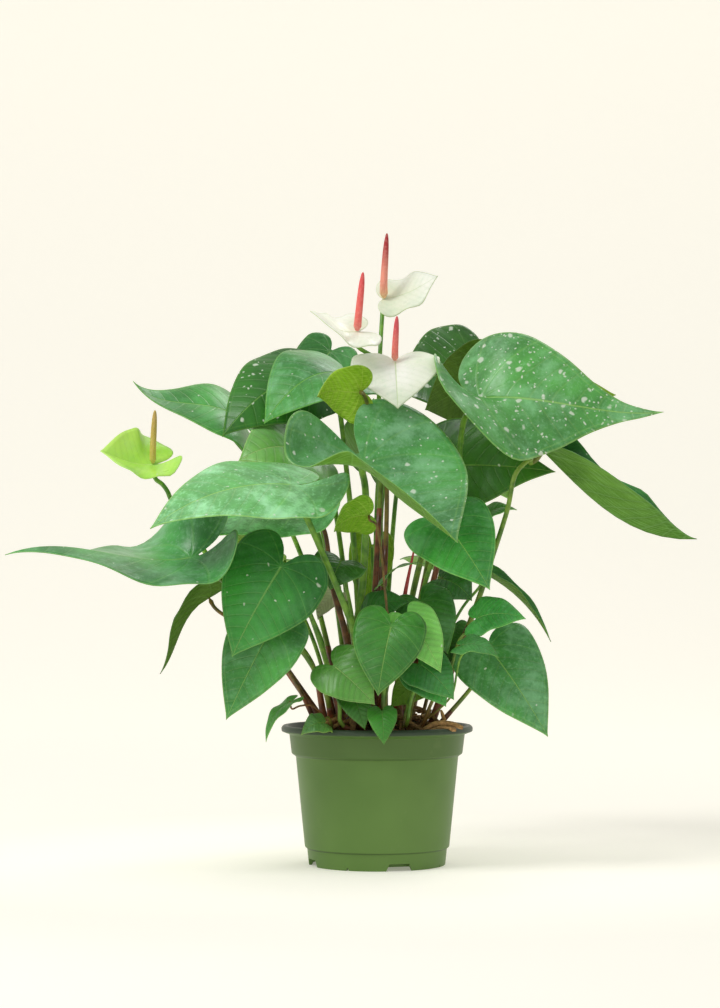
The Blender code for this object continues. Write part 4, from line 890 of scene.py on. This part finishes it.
class Look:
    """A material, its nodes and the colour that they make so far."""

    def __init__(self, name):
        self.material = bpy.data.materials.new(name)
        self.material.use_nodes = True
        self.tree = self.material.node_tree
        self.surface = self.tree.nodes["Principled BSDF"]
        self.place = self.node("TexCoord", "Object", {})
        self.colour = None

    def feed(self, socket, value):
        """Gives a socket a node's value, a plain number or place, or a seen colour."""
        if isinstance(value, Value):
            self.tree.links.new(value.socket, socket)
        elif socket.type == "RGBA":
            socket.default_value = (*linear(value), 1)
        else:
            socket.default_value = value

    def node(self, kind, output, inputs, **settings):
        """A new node's output. Its inputs are told by name or by number."""
        node = self.tree.nodes.new("ShaderNode" + kind)
        for name, value in settings.items():
            setattr(node, name, value)
        for name, value in inputs.items():
            self.feed(node.inputs[name], value)
        if isinstance(output, tuple):
            return [Value(self, node.outputs[name]) for name in output]
        return Value(self, node.outputs[output])

    def maths(self, operation, *values):
        return self.node("Math", 0, dict(enumerate(values)), operation=operation)

    def vector(self, operation, first, second=(0, 0, 0), output="Vector"):
        return self.node("VectorMath", output, {0: first, 1: second}, operation=operation)

    def blend(self, share, first, second):
        return self.node("Mix", 2, {0: share, 6: first, 7: second}, data_type="RGBA")

    def paint(self, share, colour):
        """Covers this share of the colour so far with another colour."""
        self.colour = self.blend(share, self.colour, colour)

    def coat(self, name, mask=None):
        """Lays a coat over the colour so far: over its patches, its mask, or what it follows."""
        share, colour, *span = COATS[name]
        mask = mask or self.patches(name)
        self.paint((mask.spread(*span) if span else mask) * share, colour)

    def axes(self, place):
        return self.node("SeparateXYZ", (0, 1, 2), {0: place})

    def told(self, name):
        """A number stored on the mesh."""
        return self.node("Attribute", "Fac", {}, attribute_name=name)

    def noise(self, scale, detail=3.0, rough=0.55, place=None):
        inputs = {"Vector": place or self.place, "Scale": scale, "Detail": detail, "Roughness": rough}
        return self.node("TexNoise", "Fac", inputs)

    def patches(self, name):
        *noise, low, high = PATCHES[name]
        return self.noise(*noise).spread(low, high)

    def cells(self, place, scale):
        """Distances in a pattern of cells, and each cell's own random colour."""
        return self.node("TexVoronoi", ("Distance", "Color"), {"Vector": place, "Scale": scale})

    def stirred(self):
        """The place moved a little to and fro, which makes patterns uneven."""
        swirl = self.node("TexNoise", "Color", {"Vector": self.place, "Scale": STIR_SCALE})
        swirl = self.vector("MULTIPLY", self.vector("SUBTRACT", swirl, (0.5,) * 3), (STIR_REACH,) * 3)
        return self.vector("ADD", self.place, swirl)

    def bump(self, height, depth, strength=1.0):
        inputs = {"Strength": strength, "Distance": depth, "Height": height}
        self.feed(self.surface.inputs["Normal"], self.node("Bump", 0, inputs))

    def relief(self, name):
        scale, detail, depth, strength = RELIEF[name]
        self.bump(self.noise(scale, detail), depth * MM, strength)

    def finished(self, **values):
        """The material with its colour and these values of its surface."""
        for name, value in {"base_color": self.colour, **values}.items():
            self.feed(self.surface.inputs[name.replace("_", " ").title().replace("Ior", "IOR")], value)
        return self.material


def veins(look, along, across):
    """Masks over a blade: the midrib, the side veins and how far a place is from a side vein."""
    out = abs(across)
    rib_width = along * RIB_TAPER + RIB_WIDTH
    rib = out.spread(rib_width, rib_width * RIB_CORE) * along.spread(*RIB_START)
    waver = (look.noise(*WAVER_NOISE) - 0.5) * WAVER
    origin = along - out**VEIN_POWER * VEIN_SWEEP
    shift = look.maths("GREATER_THAN", across, 0.0) * VEIN_SHIFT
    off = (origin * VEIN_COUNT + waver + shift).from_half()
    side = off.spread(out * VEIN_TAPER + VEIN_WIDTH, VEIN_CORE)
    wide = out * FAN_SIDE
    reach = look.maths("SQRT", wide**2.0 + along**2.0)
    turn = look.maths("ARCTAN2", wide, along) * FAN_COUNT + FAN_FIRST + reach * FAN_BEND
    fan = (turn.from_half() * reach).spread(*FAN_WIDTH)
    at_joint = origin.spread(*FAN_END)
    return rib, fan * at_joint + side * (1.0 - at_joint), off


def leaf_look(tone, face):
    """A blade's upper face or its underside in one of the tones."""
    look = Look(f"{tone}_{face}")
    vein = TONES[tone][4]
    kind, upper = ("petal" if tone in PETAL_TONES else "leaf"), face == "upper"
    rise, rim_light, depth = FIELDS[kind]
    matt, gloss, way = FACES[face]
    flat = look.node("UVMap", 0, {}, uv_map="Flat")
    along, across, _ = look.axes(flat)
    rib, sides, off = veins(look, along, across)
    ring = look.told("ring")
    edge_vein = abs(ring - EDGE_VEIN).spread(*EDGE_WIDTH)
    net_inputs = {"Vector": look.place, "Scale": NET_SCALE}
    net = look.node("TexVoronoi", "Distance", net_inputs, feature="DISTANCE_TO_EDGE").spread(*NET_WIDTH)
    look.colour = look.blend(look.patches("blade"), *(TONES[tone][:2] if upper else TONES[tone][2:4]))
    if upper:
        # A whitish coat on the upper face: partly a dried film, partly a painted sheen.
        film = look.told("film")
        look.coat("film", film * (look.patches("film") * FILM_AND_SHEEN_PATCHES + FILM_AND_SHEEN_EVEN))
        look.coat("film grains", look.patches("film grains") * film)
    elif kind == "leaf":
        # Fine pale streaks along the underside: painted highlights.
        sheen_streak = look.noise(1.0, place=look.vector("MULTIPLY", flat, UNDER_SHEEN_STREAKS))
        look.paint(sheen_streak.spread(*SHEEN_STREAK_SPAN) * SHEEN_STREAK_SHARE, vein)
    shares = VEIN_SHARES["petal_" + face if kind == "petal" else face]
    for mask, share in zip((net, edge_vein, sides, rib, ring.spread(*MARGIN)), shares):
        look.paint(mask * share, vein)
    # A blade's own tone with the light and shade painted on it.
    light = look.told("tint") * (off * rise + rim_light)
    inputs = {"Hue": look.told("warm"), "Value": light, "Color": look.colour}
    look.colour = look.node("HueSaturation", 0, inputs)
    if upper:
        stirred = look.stirred()
        for scale, most in DROPS:
            far, chance = look.cells(stirred, scale)
            held = look.maths("LESS_THAN", chance, look.told("spots") * most)
            look.coat("drop", far.spread(*DROP_EDGE) * held)
    height = rib + sides * SIDE_HEIGHT + off * FIELD_HEIGHT + net * NET_HEIGHT
    look.bump(height * way, depth, VEIN_STRENGTH)
    roughness = look.noise(MATT_SCALE) * MATT_PATCHES + matt + rib * MATT_RIB
    return look.finished(roughness=roughness, specular_ior_level=gloss)


def stem_look():
    """Green with brown streaks, redder at the foot, with a browner knee below the blade."""
    look = Look("stem_skin")
    along = look.told("along")
    streak = look.patches("stem")
    green, brown = look.blend(streak, *STEM_GREENS), look.blend(streak, *STEM_BROWNS)
    look.colour = look.blend(look.told("brown"), green, brown)
    look.coat("knee", along.spread(*KNEE_START) * along.spread(*KNEE_END))
    look.coat("foot", along)
    look.relief("stem")
    return look.finished(roughness=streak * PATCH_MATT + MATT["stem"])


def spear_look():
    """Red along the rolled leaf, with brown streaks."""
    look = Look("new_leaf")
    look.colour = look.blend(look.told("along").spread(*SPEAR_SPAN), *SPEAR_REDS)
    look.coat("spear")
    look.relief("spear")
    return look.finished(roughness=MATT["spear"])


def spadix_look(name, colours):
    """Its colour changes from foot to tip, with painted shade between the bumps and pale speckles."""
    look = Look(name)
    look.colour = colours[0]
    for span, colour in zip(SPADIX_SPANS, colours[1:]):
        look.paint(look.told("along").spread(*span), colour)
    # Painted shade between the bumps.
    look.coat("groove", look.told("knob"))
    look.coat("spadix")
    look.relief("spadix")
    return look.finished(roughness=MATT["spadix"], specular_ior_level=GLOSS["spadix"], **SPADIX_DEPTH)


def soil_look():
    """Dark and lighter brown crumbs with a few pale flecks."""
    look = Look("soil_mix")
    look.colour = look.blend(look.patches("soil"), *SOIL_BROWNS)
    crumb, chance = look.cells(look.place, CRUMB_SCALE)
    look.coat("crumb", crumb)
    look.coat("fleck", look.maths("GREATER_THAN", chance, FLECK_LEAST) * crumb.spread(*FLECK_EDGE))
    look.bump(look.noise(*SOIL_NOISE) + crumb * CRUMB_DIP, SOIL_RELIEF)
    return look.finished(roughness=MATT["soil"])


def chip_look():
    """Bark from dark to pale brown, each piece in its own shade."""
    look = Look("bark_chips")
    look.colour = look.blend(look.told("shade"), *CHIP_BROWNS)
    look.coat("chips")
    look.relief("chips")
    return look.finished(roughness=MATT["chips"])


def pot_look():
    """Satin green plastic, darker on the collar and the lip, near black inside, with painted shadow under
    its steps, dusty here and there.
    """
    look = Look("pot_plastic")
    look.colour = look.blend(look.patches("pot"), *POT_GREENS)
    across, back, high = look.axes(look.place)
    look.coat("collar", high)
    look.coat("lip", high)
    # Painted shadow lines under the foot's and the collar's steps.
    for step in STEP_SHADOW_LEVELS:
        look.coat("step", abs(high - step))
    inner = look.maths("SQRT", across**2.0 + back**2.0) - high * WALL_SLOPE
    look.coat("inside", inner.spread(*INSIDE_REACH) * high.spread(*INSIDE_LEVEL))
    dust = look.patches("pot dust")
    look.coat("pot dust", dust)
    look.relief("pot")
    return look.finished(roughness=dust * PATCH_MATT + MATT["pot"], specular_ior_level=GLOSS["pot"])


def floor_look():
    """Off-white paint that glows a little, at the pot and far from it, so that the ground looks even."""
    look = Look("floor_paint")
    look.colour = look.blend(look.noise(*FLOOR_NOISE), *FLOOR_WHITES)
    away = look.vector("LENGTH", look.place, output="Value")
    glow = away.spread(*FAR_GLOW) + away.spread(*FOOT_GLOW)
    shine = {"emission_color": FLOOR_GLOW, "emission_strength": glow}
    return look.finished(roughness=MATT["floor"], specular_ior_level=GLOSS["floor"], **shine)


def linked(name, data):
    """A new object in the scene."""
    item = bpy.data.objects.new(name, data)
    bpy.context.scene.collection.objects.link(item)
    return item


def mesh_item(name, points, faces, materials=(), smooth=True):
    mesh = bpy.data.meshes.new(name)
    mesh.from_pydata(np.asarray(points, float).tolist(), [], [tuple(map(int, face)) for face in faces])
    for material in materials:
        mesh.materials.append(material)
    mesh.polygons.foreach_set("use_smooth", [smooth] * len(mesh.polygons))
    return linked(name, mesh)


def piece(name, points, faces, slot, node, materials, smooth=True):
    """A mesh piece that stands for a node and rides on the body."""
    item = mesh_item(name, points, faces, materials, smooth)
    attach(item, "root")
    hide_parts(node)
    return item


def add_numbers(item, **numbers):
    """Stores one number per point under each name."""
    for name, values in numbers.items():
        attribute = item.data.attributes.new(name, "FLOAT", "POINT")
        attribute.data.foreach_set("value", np.concatenate(values).astype(np.float32))


def joined(parts):
    """Several (points, faces) as one."""
    faces, start = [], 0
    for points, own_faces in parts:
        faces += [tuple(int(v) + start for v in face) for face in own_faces]
        start += len(points)
    return np.vstack([points for points, _ in parts]), faces


def make_blades(name, leaves, slot, node, shade):
    """The blades of one node as one piece, each with its own tone above and below."""
    tones = list(dict.fromkeys(leaf.tone for leaf in leaves))
    parts, flats, slots, numbers = [], [], [], {}
    for leaf in leaves:
        count, rounds = LARGE_GRID if leaf.width >= LARGE_BLADE else SMALL_GRID
        points, flat, faces = Blade(leaf).grid(count, rounds)
        around = (len(points) - 1) // rounds
        parts.append((points, faces))
        flats.append(flat)
        slots += [2 * tones.index(leaf.tone)] * len(faces)
        own = {
            "ring": np.append(0, np.repeat(np.arange(1, rounds + 1) / rounds, around)),
            # The blade's own tone, with painted light or shade.
            "tint": BLADE_LIGHT.get(leaf.name, 1) * (1 + LIGHT_CHANCE * (shade.random() - 0.5)),
            "warm": 0.5 + HUE_CHANCE * (shade.random() - 0.5),
            "spots": SPOTTED.get(leaf.name, PLAIN_SPOTS),
            # How much dried film and painted sheen lies on the blade's upper face.
            "film": FILM_AND_SHEEN.get(leaf.name, PLAIN_FILM_AND_SHEEN),
        }
        for key, value in own.items():
            numbers.setdefault(key, []).append(np.broadcast_to(value, len(points)))
    points, faces = joined(parts)
    item = piece(name, points, faces, slot, node, [look for tone in tones for look in LEAF_LOOKS[tone]])
    mesh = item.data
    mesh.polygons.foreach_set("material_index", slots)
    index = np.empty(len(mesh.loops), int)
    mesh.loops.foreach_get("vertex_index", index)
    flat_places = np.vstack(flats).astype(np.float32)[index]
    mesh.uv_layers.new(name="Flat").data.foreach_set("uv", flat_places.ravel())
    add_numbers(item, **numbers)
    sheet = item.modifiers.new("Thickness", "SOLIDIFY")
    sheet.thickness = SHEET
    sheet.offset = 0
    sheet.material_offset = 1


def tube(line, reach):
    """A closed tube about a line, with the reach to each side at each ring, as points and faces."""
    rings, sides = reach.shape
    turns = np.arange(sides) * 2 * math.pi / sides
    heading = unit(np.gradient(line, axis=0))
    across = unit(np.cross(heading[0], FIRST_ACROSS))
    points = []
    for centre, ahead, out in zip(line, heading, reach):
        across = unit(across - across.dot(ahead) * ahead)
        around = np.outer(np.cos(turns), across) + np.outer(np.sin(turns), np.cross(ahead, across))
        points.append(centre + out[:, None] * around)
    last = (rings - 1) * sides
    faces = [tuple(range(sides))[::-1]]
    for start in range(0, last, sides):
        for i in range(sides):
            a, b = start + i, start + (i + 1) % sides
            faces.append((a, b, b + sides, a + sides))
    faces.append(tuple(range(last, last + sides)))
    return np.vstack(points), faces


def round_tube(course, radii, sides, rings):
    """A round tube along a smooth course, as points, faces and places along it."""
    share = np.linspace(0, 1, rings)
    wide = np.interp(share, np.linspace(0, 1, len(radii)), radii)
    points, faces = tube(smooth_through(course, rings), np.repeat(wide[:, None], sides, axis=1))
    return points, faces, np.repeat(share, sides)


def make_stems(name, members, slot, node, material):
    """The stems of one node as one piece. Each member is a course, its radii and how brown it is.

    A stout stem has a dry sheath about its foot.
    """
    parts, places, browns = [], [], []
    for course, radii, brown in members:
        tubes = [(course, radii, STEM_RINGS, brown, 0, 1)]
        if radii[0] > SHEATH_LEAST:
            wrap = radii[1:SHEATH_END] * np.linspace(*SHEATH_GIRTH, SHEATH_END - 1)
            tubes.append((course[1:SHEATH_END], wrap, SHEATH_RINGS, 1.0, *SHEATH_SPAN))
        for line, wide, rings, tone, first, span in tubes:
            points, faces, share = round_tube(line, wide, STEM_SIDES, rings)
            parts.append((points, faces))
            places.append(first + span * share)
            browns.append(np.full(len(points), tone))
    item = piece(name, *joined(parts), slot, node, [material])
    add_numbers(item, along=places, brown=browns)


def knee_radii(leaf, radii):
    """A leaf stem's radii with the slight swelling below its blade."""
    share = np.linspace(0, 1, len(radii))
    swell = np.exp(-(((share - KNEE_PLACE) / KNEE_LENGTH) ** 2))
    return radii + KNEE_SWELL * leaf.stem * MM * swell * (leaf.width > KNEE_BLADE)


def make_spadix(bloom):
    """A spadix with its spiral rows of bumps."""
    place, foot, tip = SPADICES[bloom.name]
    line = smooth_through(spadix_course(Blade(bloom), place), SPADIX_LONG)
    share = np.linspace(0, 1, SPADIX_LONG)[:, None]
    ends = np.sqrt(1 - share**SPADIX_TIP_POWER) * np.clip(SPADIX_FOOT + SPADIX_GROWTH * share, 0, 1)
    wide = (foot + (tip - foot) * share) * ends * MM
    rows = round(np.linalg.norm(line[-1] - line[0]) / SPADIX_ROW_LENGTH)
    turns = np.arange(SPADIX_ROUND) / SPADIX_ROUND * math.pi * SPADIX_ROWS
    climb = share * rows * math.pi
    knob = np.abs(np.sin(turns + climb) * np.sin(turns - climb))
    reach = np.maximum(wide - SPADIX_BUMP + SPADIX_BUMP * SPADIX_KNOB * np.sqrt(knob), SPADIX_LEAST)
    name = bloom.name + "_spadix"
    slot = "spadix_" + SPADIX_TONES[bloom.name]
    look = spadix_look(name, SPADIX_COLOURS[bloom.name])
    item = piece(name + "_fine", *tube(line, reach), slot, name, [look])
    add_numbers(item, along=[np.repeat(share, SPADIX_ROUND)], knob=[knob.ravel()])


def disc_mesh(rings):
    """Closed rings of points joined by faces: a single point makes a pole."""
    points = [point for ring in rings for point in ring]
    faces, start = [], 0
    for ring, following in zip(rings, rings[1:]):
        after = start + len(ring)
        around = max(len(ring), len(following))
        for i in range(around):
            j = (i + 1) % around
            if len(ring) == 1:
                faces.append((start, after + j, after + i))
            elif len(following) == 1:
                faces.append((start + i, start + j, after))
            else:
                faces.append((start + i, start + j, after + j, after + i))
        start = after
    return points, faces


def circle(radius, height, count):
    """A level ring of points, or a single point where it has no radius."""
    turns = np.arange(count if radius > 0 else 1) * 2 * math.pi / count
    return np.column_stack([radius * np.cos(turns), radius * np.sin(turns), np.full(len(turns), height)])


def make_soil(shade):
    """The soil's top with its crumbs and a short skirt down the wall."""
    waves = [[shade.uniform(*span) for span in CRUMB_WAVE * 2] for _ in range(CRUMB_COUNT)]
    rings = [circle(SKIRT_MM * MM, SKIRT_LEVEL, SOIL_ROUND)]
    for radius in np.linspace(SOIL_EDGE_MM, SOIL_MIDDLE_MM, SOIL_RINGS) * MM:
        ring = circle(radius, 0, SOIL_ROUND)
        x, y = ring[:, 0], ring[:, 1]
        ring[:, 2] = soil_height(x, y)
        for beat_x, start_x, beat_y, start_y in waves:
            ring[:, 2] += CRUMB_HEIGHT * np.sin(x * beat_x + start_x) * np.sin(y * beat_y + start_y)
        rings.append(ring)
    rings.append(circle(0, float(soil_height(0, 0)), SOIL_ROUND))
    piece("soil_fine", *disc_mesh(rings), "soil", "soil", [soil_look()])


def chip_mesh(shade, x, y, most_lift):
    """A ragged splinter or flake of bark on the soil, as points and faces."""
    spans = SPLINTER if shade.random() < SPLINTER_SHARE else FLAKE
    size = np.array([shade.uniform(*span) for span in spans]) * MM * 0.5
    spin = shade.uniform(0, math.pi)
    ahead = unit([math.cos(spin), math.sin(spin), shade.uniform(-CHIP_SLOPE, CHIP_SLOPE)])
    tilt = [shade.uniform(-CHIP_TILT, CHIP_TILT) for _ in range(2)]
    level = unit(np.cross((*tilt, 1), ahead))
    up = np.cross(ahead, level)
    centre = np.array([x, y, float(soil_height(x, y)) + CHIP_LIFT + most_lift * shade.random()])
    points = []
    for a, b, c in [(i, j, k) for i in (-1, 0, 1) for j in (-1, 1) for k in (-1, 1)]:
        ragged = 1 + CHIP_RAGGED * (shade.random() - 0.5)
        girth = CHIP_GIRTH[abs(a)] * (level * b * size[1] + up * c * size[2])
        points.append(centre + (ahead * a * size[0] + girth) * ragged)
    faces = [(0, 1, 3, 2), (8, 10, 11, 9)]
    for first, second in ((0, 1), (1, 3), (3, 2), (2, 0), (4, 5), (5, 7), (7, 6), (6, 4)):
        faces.append((first, first + 4, second + 4, second))
    return np.array(points), faces


def make_chips(shade, feet):
    """Bark chips and sticks that lie on the soil, clear of the stems."""
    parts, shades = [], []
    places = [(0, 0, CHIP_REACH, 0)] * CHIP_COUNT
    for *heap, count in HEAPS:
        places += [tuple(number * MM for number in heap)] * count
    while len(parts) < len(places):
        middle_x, middle_y, spread, height = places[len(parts)]
        turn, reach = shade.uniform(0, 2 * math.pi), spread * math.sqrt(shade.random())
        x, y = middle_x + reach * math.cos(turn), middle_y + reach * math.sin(turn)
        room = HEAP_ROOM if height else FLAT_ROOM
        if np.linalg.norm(feet - [x, y], axis=1).min() < room or math.hypot(x, y) > CHIP_REACH:
            continue
        parts.append(chip_mesh(shade, x, y, height * (1 - reach / spread)))
        shades.append(np.full(len(parts[-1][0]), shade.random()))
    for course, radius, tone in STICKS:
        ragged = radius * MM * (1 + STICK_RAGGED * (shade.random(STICK_KNOTS) - 0.5))
        ragged[[0, -1]] *= STICK_ENDS
        line = [seen_at(*place) for place in course]
        points, faces, _ = round_tube(line, ragged, STICK_SIDES, STICK_RINGS)
        parts.append((points, faces))
        shades.append(np.full(len(points), tone))
    item = piece("soil_chips", *joined(parts), "soil", "soil", [chip_look()], smooth=False)
    add_numbers(item, shade=shades)


def rounded(section):
    """A section with its corners turned on small arcs."""
    result = [section[0]]
    for before, corner, after in zip(section, section[1:], section[2:]):
        corner = np.array(corner, float)
        ends = []
        for other in (before, after):
            room = min(CORNER_MM, CORNER_ROOM * np.linalg.norm(other - corner))
            ends.append(corner + unit(other - corner) * room)
        for u in np.linspace(0, 1, CORNER_STEPS + 1):
            result.append((1 - u) ** 2 * ends[0] + 2 * u * (1 - u) * corner + u * u * ends[1])
    return [*result, section[-1]]


def cutter(name, turn, width, top_width, height):
    """A tapered block across the pot's foot ring."""
    out = np.array([math.sin(turn), -math.cos(turn)])
    across = np.array([-out[1], out[0]])
    sides = ((-width, CUT_BELOW), (width, CUT_BELOW), (top_width, height), (-top_width, height))
    points = [(*(out * radius + across * side / 2), level) for radius in CUT_SPAN for side, level in sides]
    faces = [(0, 3, 2, 1), (4, 5, 6, 7), (0, 1, 5, 4), (1, 2, 6, 5), (2, 3, 7, 6), (3, 0, 4, 7)]
    return mesh_item(name, points, faces, smooth=False)


def make_pot():
    """The pot turned from its section, with the drain notches and vents cut through its foot ring."""
    rings = [circle(radius * MM, height * MM, POT_ROUND) for radius, height in rounded(POT_SECTION_MM)]
    pot = piece("pot_fine", *disc_mesh(rings), "pot", "pot", [pot_look()])
    group = bpy.data.collections.new("pot_cutters")
    for quarter in range(4):
        for name, (turn, *sizes) in CUTS.items():
            group.objects.link(cutter(name, math.radians(turn + 90 * quarter), *sizes))
    holes = pot.modifiers.new("Holes", "BOOLEAN")
    holes.operation = "DIFFERENCE"
    holes.operand_type = "COLLECTION"
    holes.collection = group
    holes.solver = "EXACT"
    whole = bpy.data.meshes.new_from_object(pot.evaluated_get(bpy.context.evaluated_depsgraph_get()))
    pot.modifiers.clear()
    pot.data = whole
    for block in list(group.objects):
        bpy.data.objects.remove(block)
    bpy.data.collections.remove(group)
    whole.set_sharp_from_angle(angle=SHARP_EDGE)


def make_plant():
    """Every piece of the plant, node by node."""
    shade = np.random.default_rng(CHANCE_START)
    courses, radii = all_courses()
    nodes = {}
    for leaf, course, radius in zip(LEAVES, courses, radii):
        nodes.setdefault(leaf.node or leaf.name, []).append((leaf, course, knee_radii(leaf, radius)))
    for node, members in nodes.items():
        slot = "leaf_" + members[0][0].tone
        make_blades(node + "_blades", [leaf for leaf, _, _ in members], slot, node, shade)
        stems = [(line, radii, BROWN_STEMS.get(leaf.name, PLAIN_STEM)) for leaf, line, radii in members]
        make_stems(node + "_stems", stems, slot, node, STEM_LOOK)
    first_bloom = len(LEAVES)
    for bloom, course, radius in zip(BLOOMS, courses[first_bloom:], radii[first_bloom:]):
        spathe, stalk = bloom.name + "_spathe", bloom.name + "_stalk"
        make_blades(spathe + "_fine", [bloom], "spathe_" + bloom.tone, spathe, shade)
        make_stems(stalk + "_fine", [(course, radius, 0.0)], "bloom_stalk", stalk, STEM_LOOK)
        make_spadix(bloom)
    spear = (courses[-1], radii[-1], 0.0)
    make_stems("red_spear_fine", [spear], "new_leaf_red", "red_spear", SPEAR_LOOK)
    make_soil(shade)
    make_chips(shade, np.array([course[1][:2] for course in courses]))
    make_pot()


def make_stage():
    """A pale floor that turns up into a backdrop behind the plant."""
    profile = [(FLOOR_FRONT, 0.0)]
    for turn in np.linspace(0, math.pi / 2, FLOOR_TURN_STEPS):
        profile.append((FLOOR_BACK + FLOOR_TURN * math.sin(turn), FLOOR_TURN - FLOOR_TURN * math.cos(turn)))
    profile.append((FLOOR_BACK + FLOOR_TURN, FLOOR_TOP))
    points = [(x, y, z) for x in (-FLOOR_SIDE, FLOOR_SIDE) for y, z in profile]
    count = len(profile)
    faces = [(i, i + count, i + count + 1, i + 1) for i in range(count - 1)]
    floor = mesh_item("backdrop", points, faces, [floor_look()])


def make_light():
    """An even sky and two soft lamps."""
    world = bpy.data.worlds.new("studio")
    world.use_nodes = True
    sky = world.node_tree.nodes["Background"]
    sky.inputs[0].default_value = (*SKY_COLOUR, 1)
    sky.inputs[1].default_value = SKY_LIGHT
    bpy.context.scene.world = world
    for name, (place, target, size, power) in LAMPS.items():
        light = bpy.data.lights.new(name, "AREA")
        light.shape = "DISK"
        light.size = size
        light.energy = power
        lamp = linked(name, light)
        lamp.location = place
        lamp.rotation_euler = (Vector(target) - Vector(place)).to_track_quat("-Z", "Y").to_euler()
    bpy.context.scene.view_settings.view_transform = "Standard"


def make_camera():
    """The eye the plant was laid out from."""
    lens = bpy.data.cameras.new("camera")
    lens.sensor_fit = "AUTO"
    lens.sensor_width = SENSOR_WIDTH
    lens.lens = PICTURE_DISTANCE / (2 * PICTURE_CENTRE[1]) * SENSOR_WIDTH
    camera = linked("camera", lens)
    camera.location = EYE
    camera.rotation_euler = (math.pi / 2 + EYE_PITCH, 0, 0)
    bpy.context.scene.camera = camera


LEAF_LOOKS = {tone: (leaf_look(tone, "upper"), leaf_look(tone, "under")) for tone in TONES}
STEM_LOOK = stem_look()
SPEAR_LOOK = spear_look()

make_plant()
make_stage()
make_light()
make_camera()
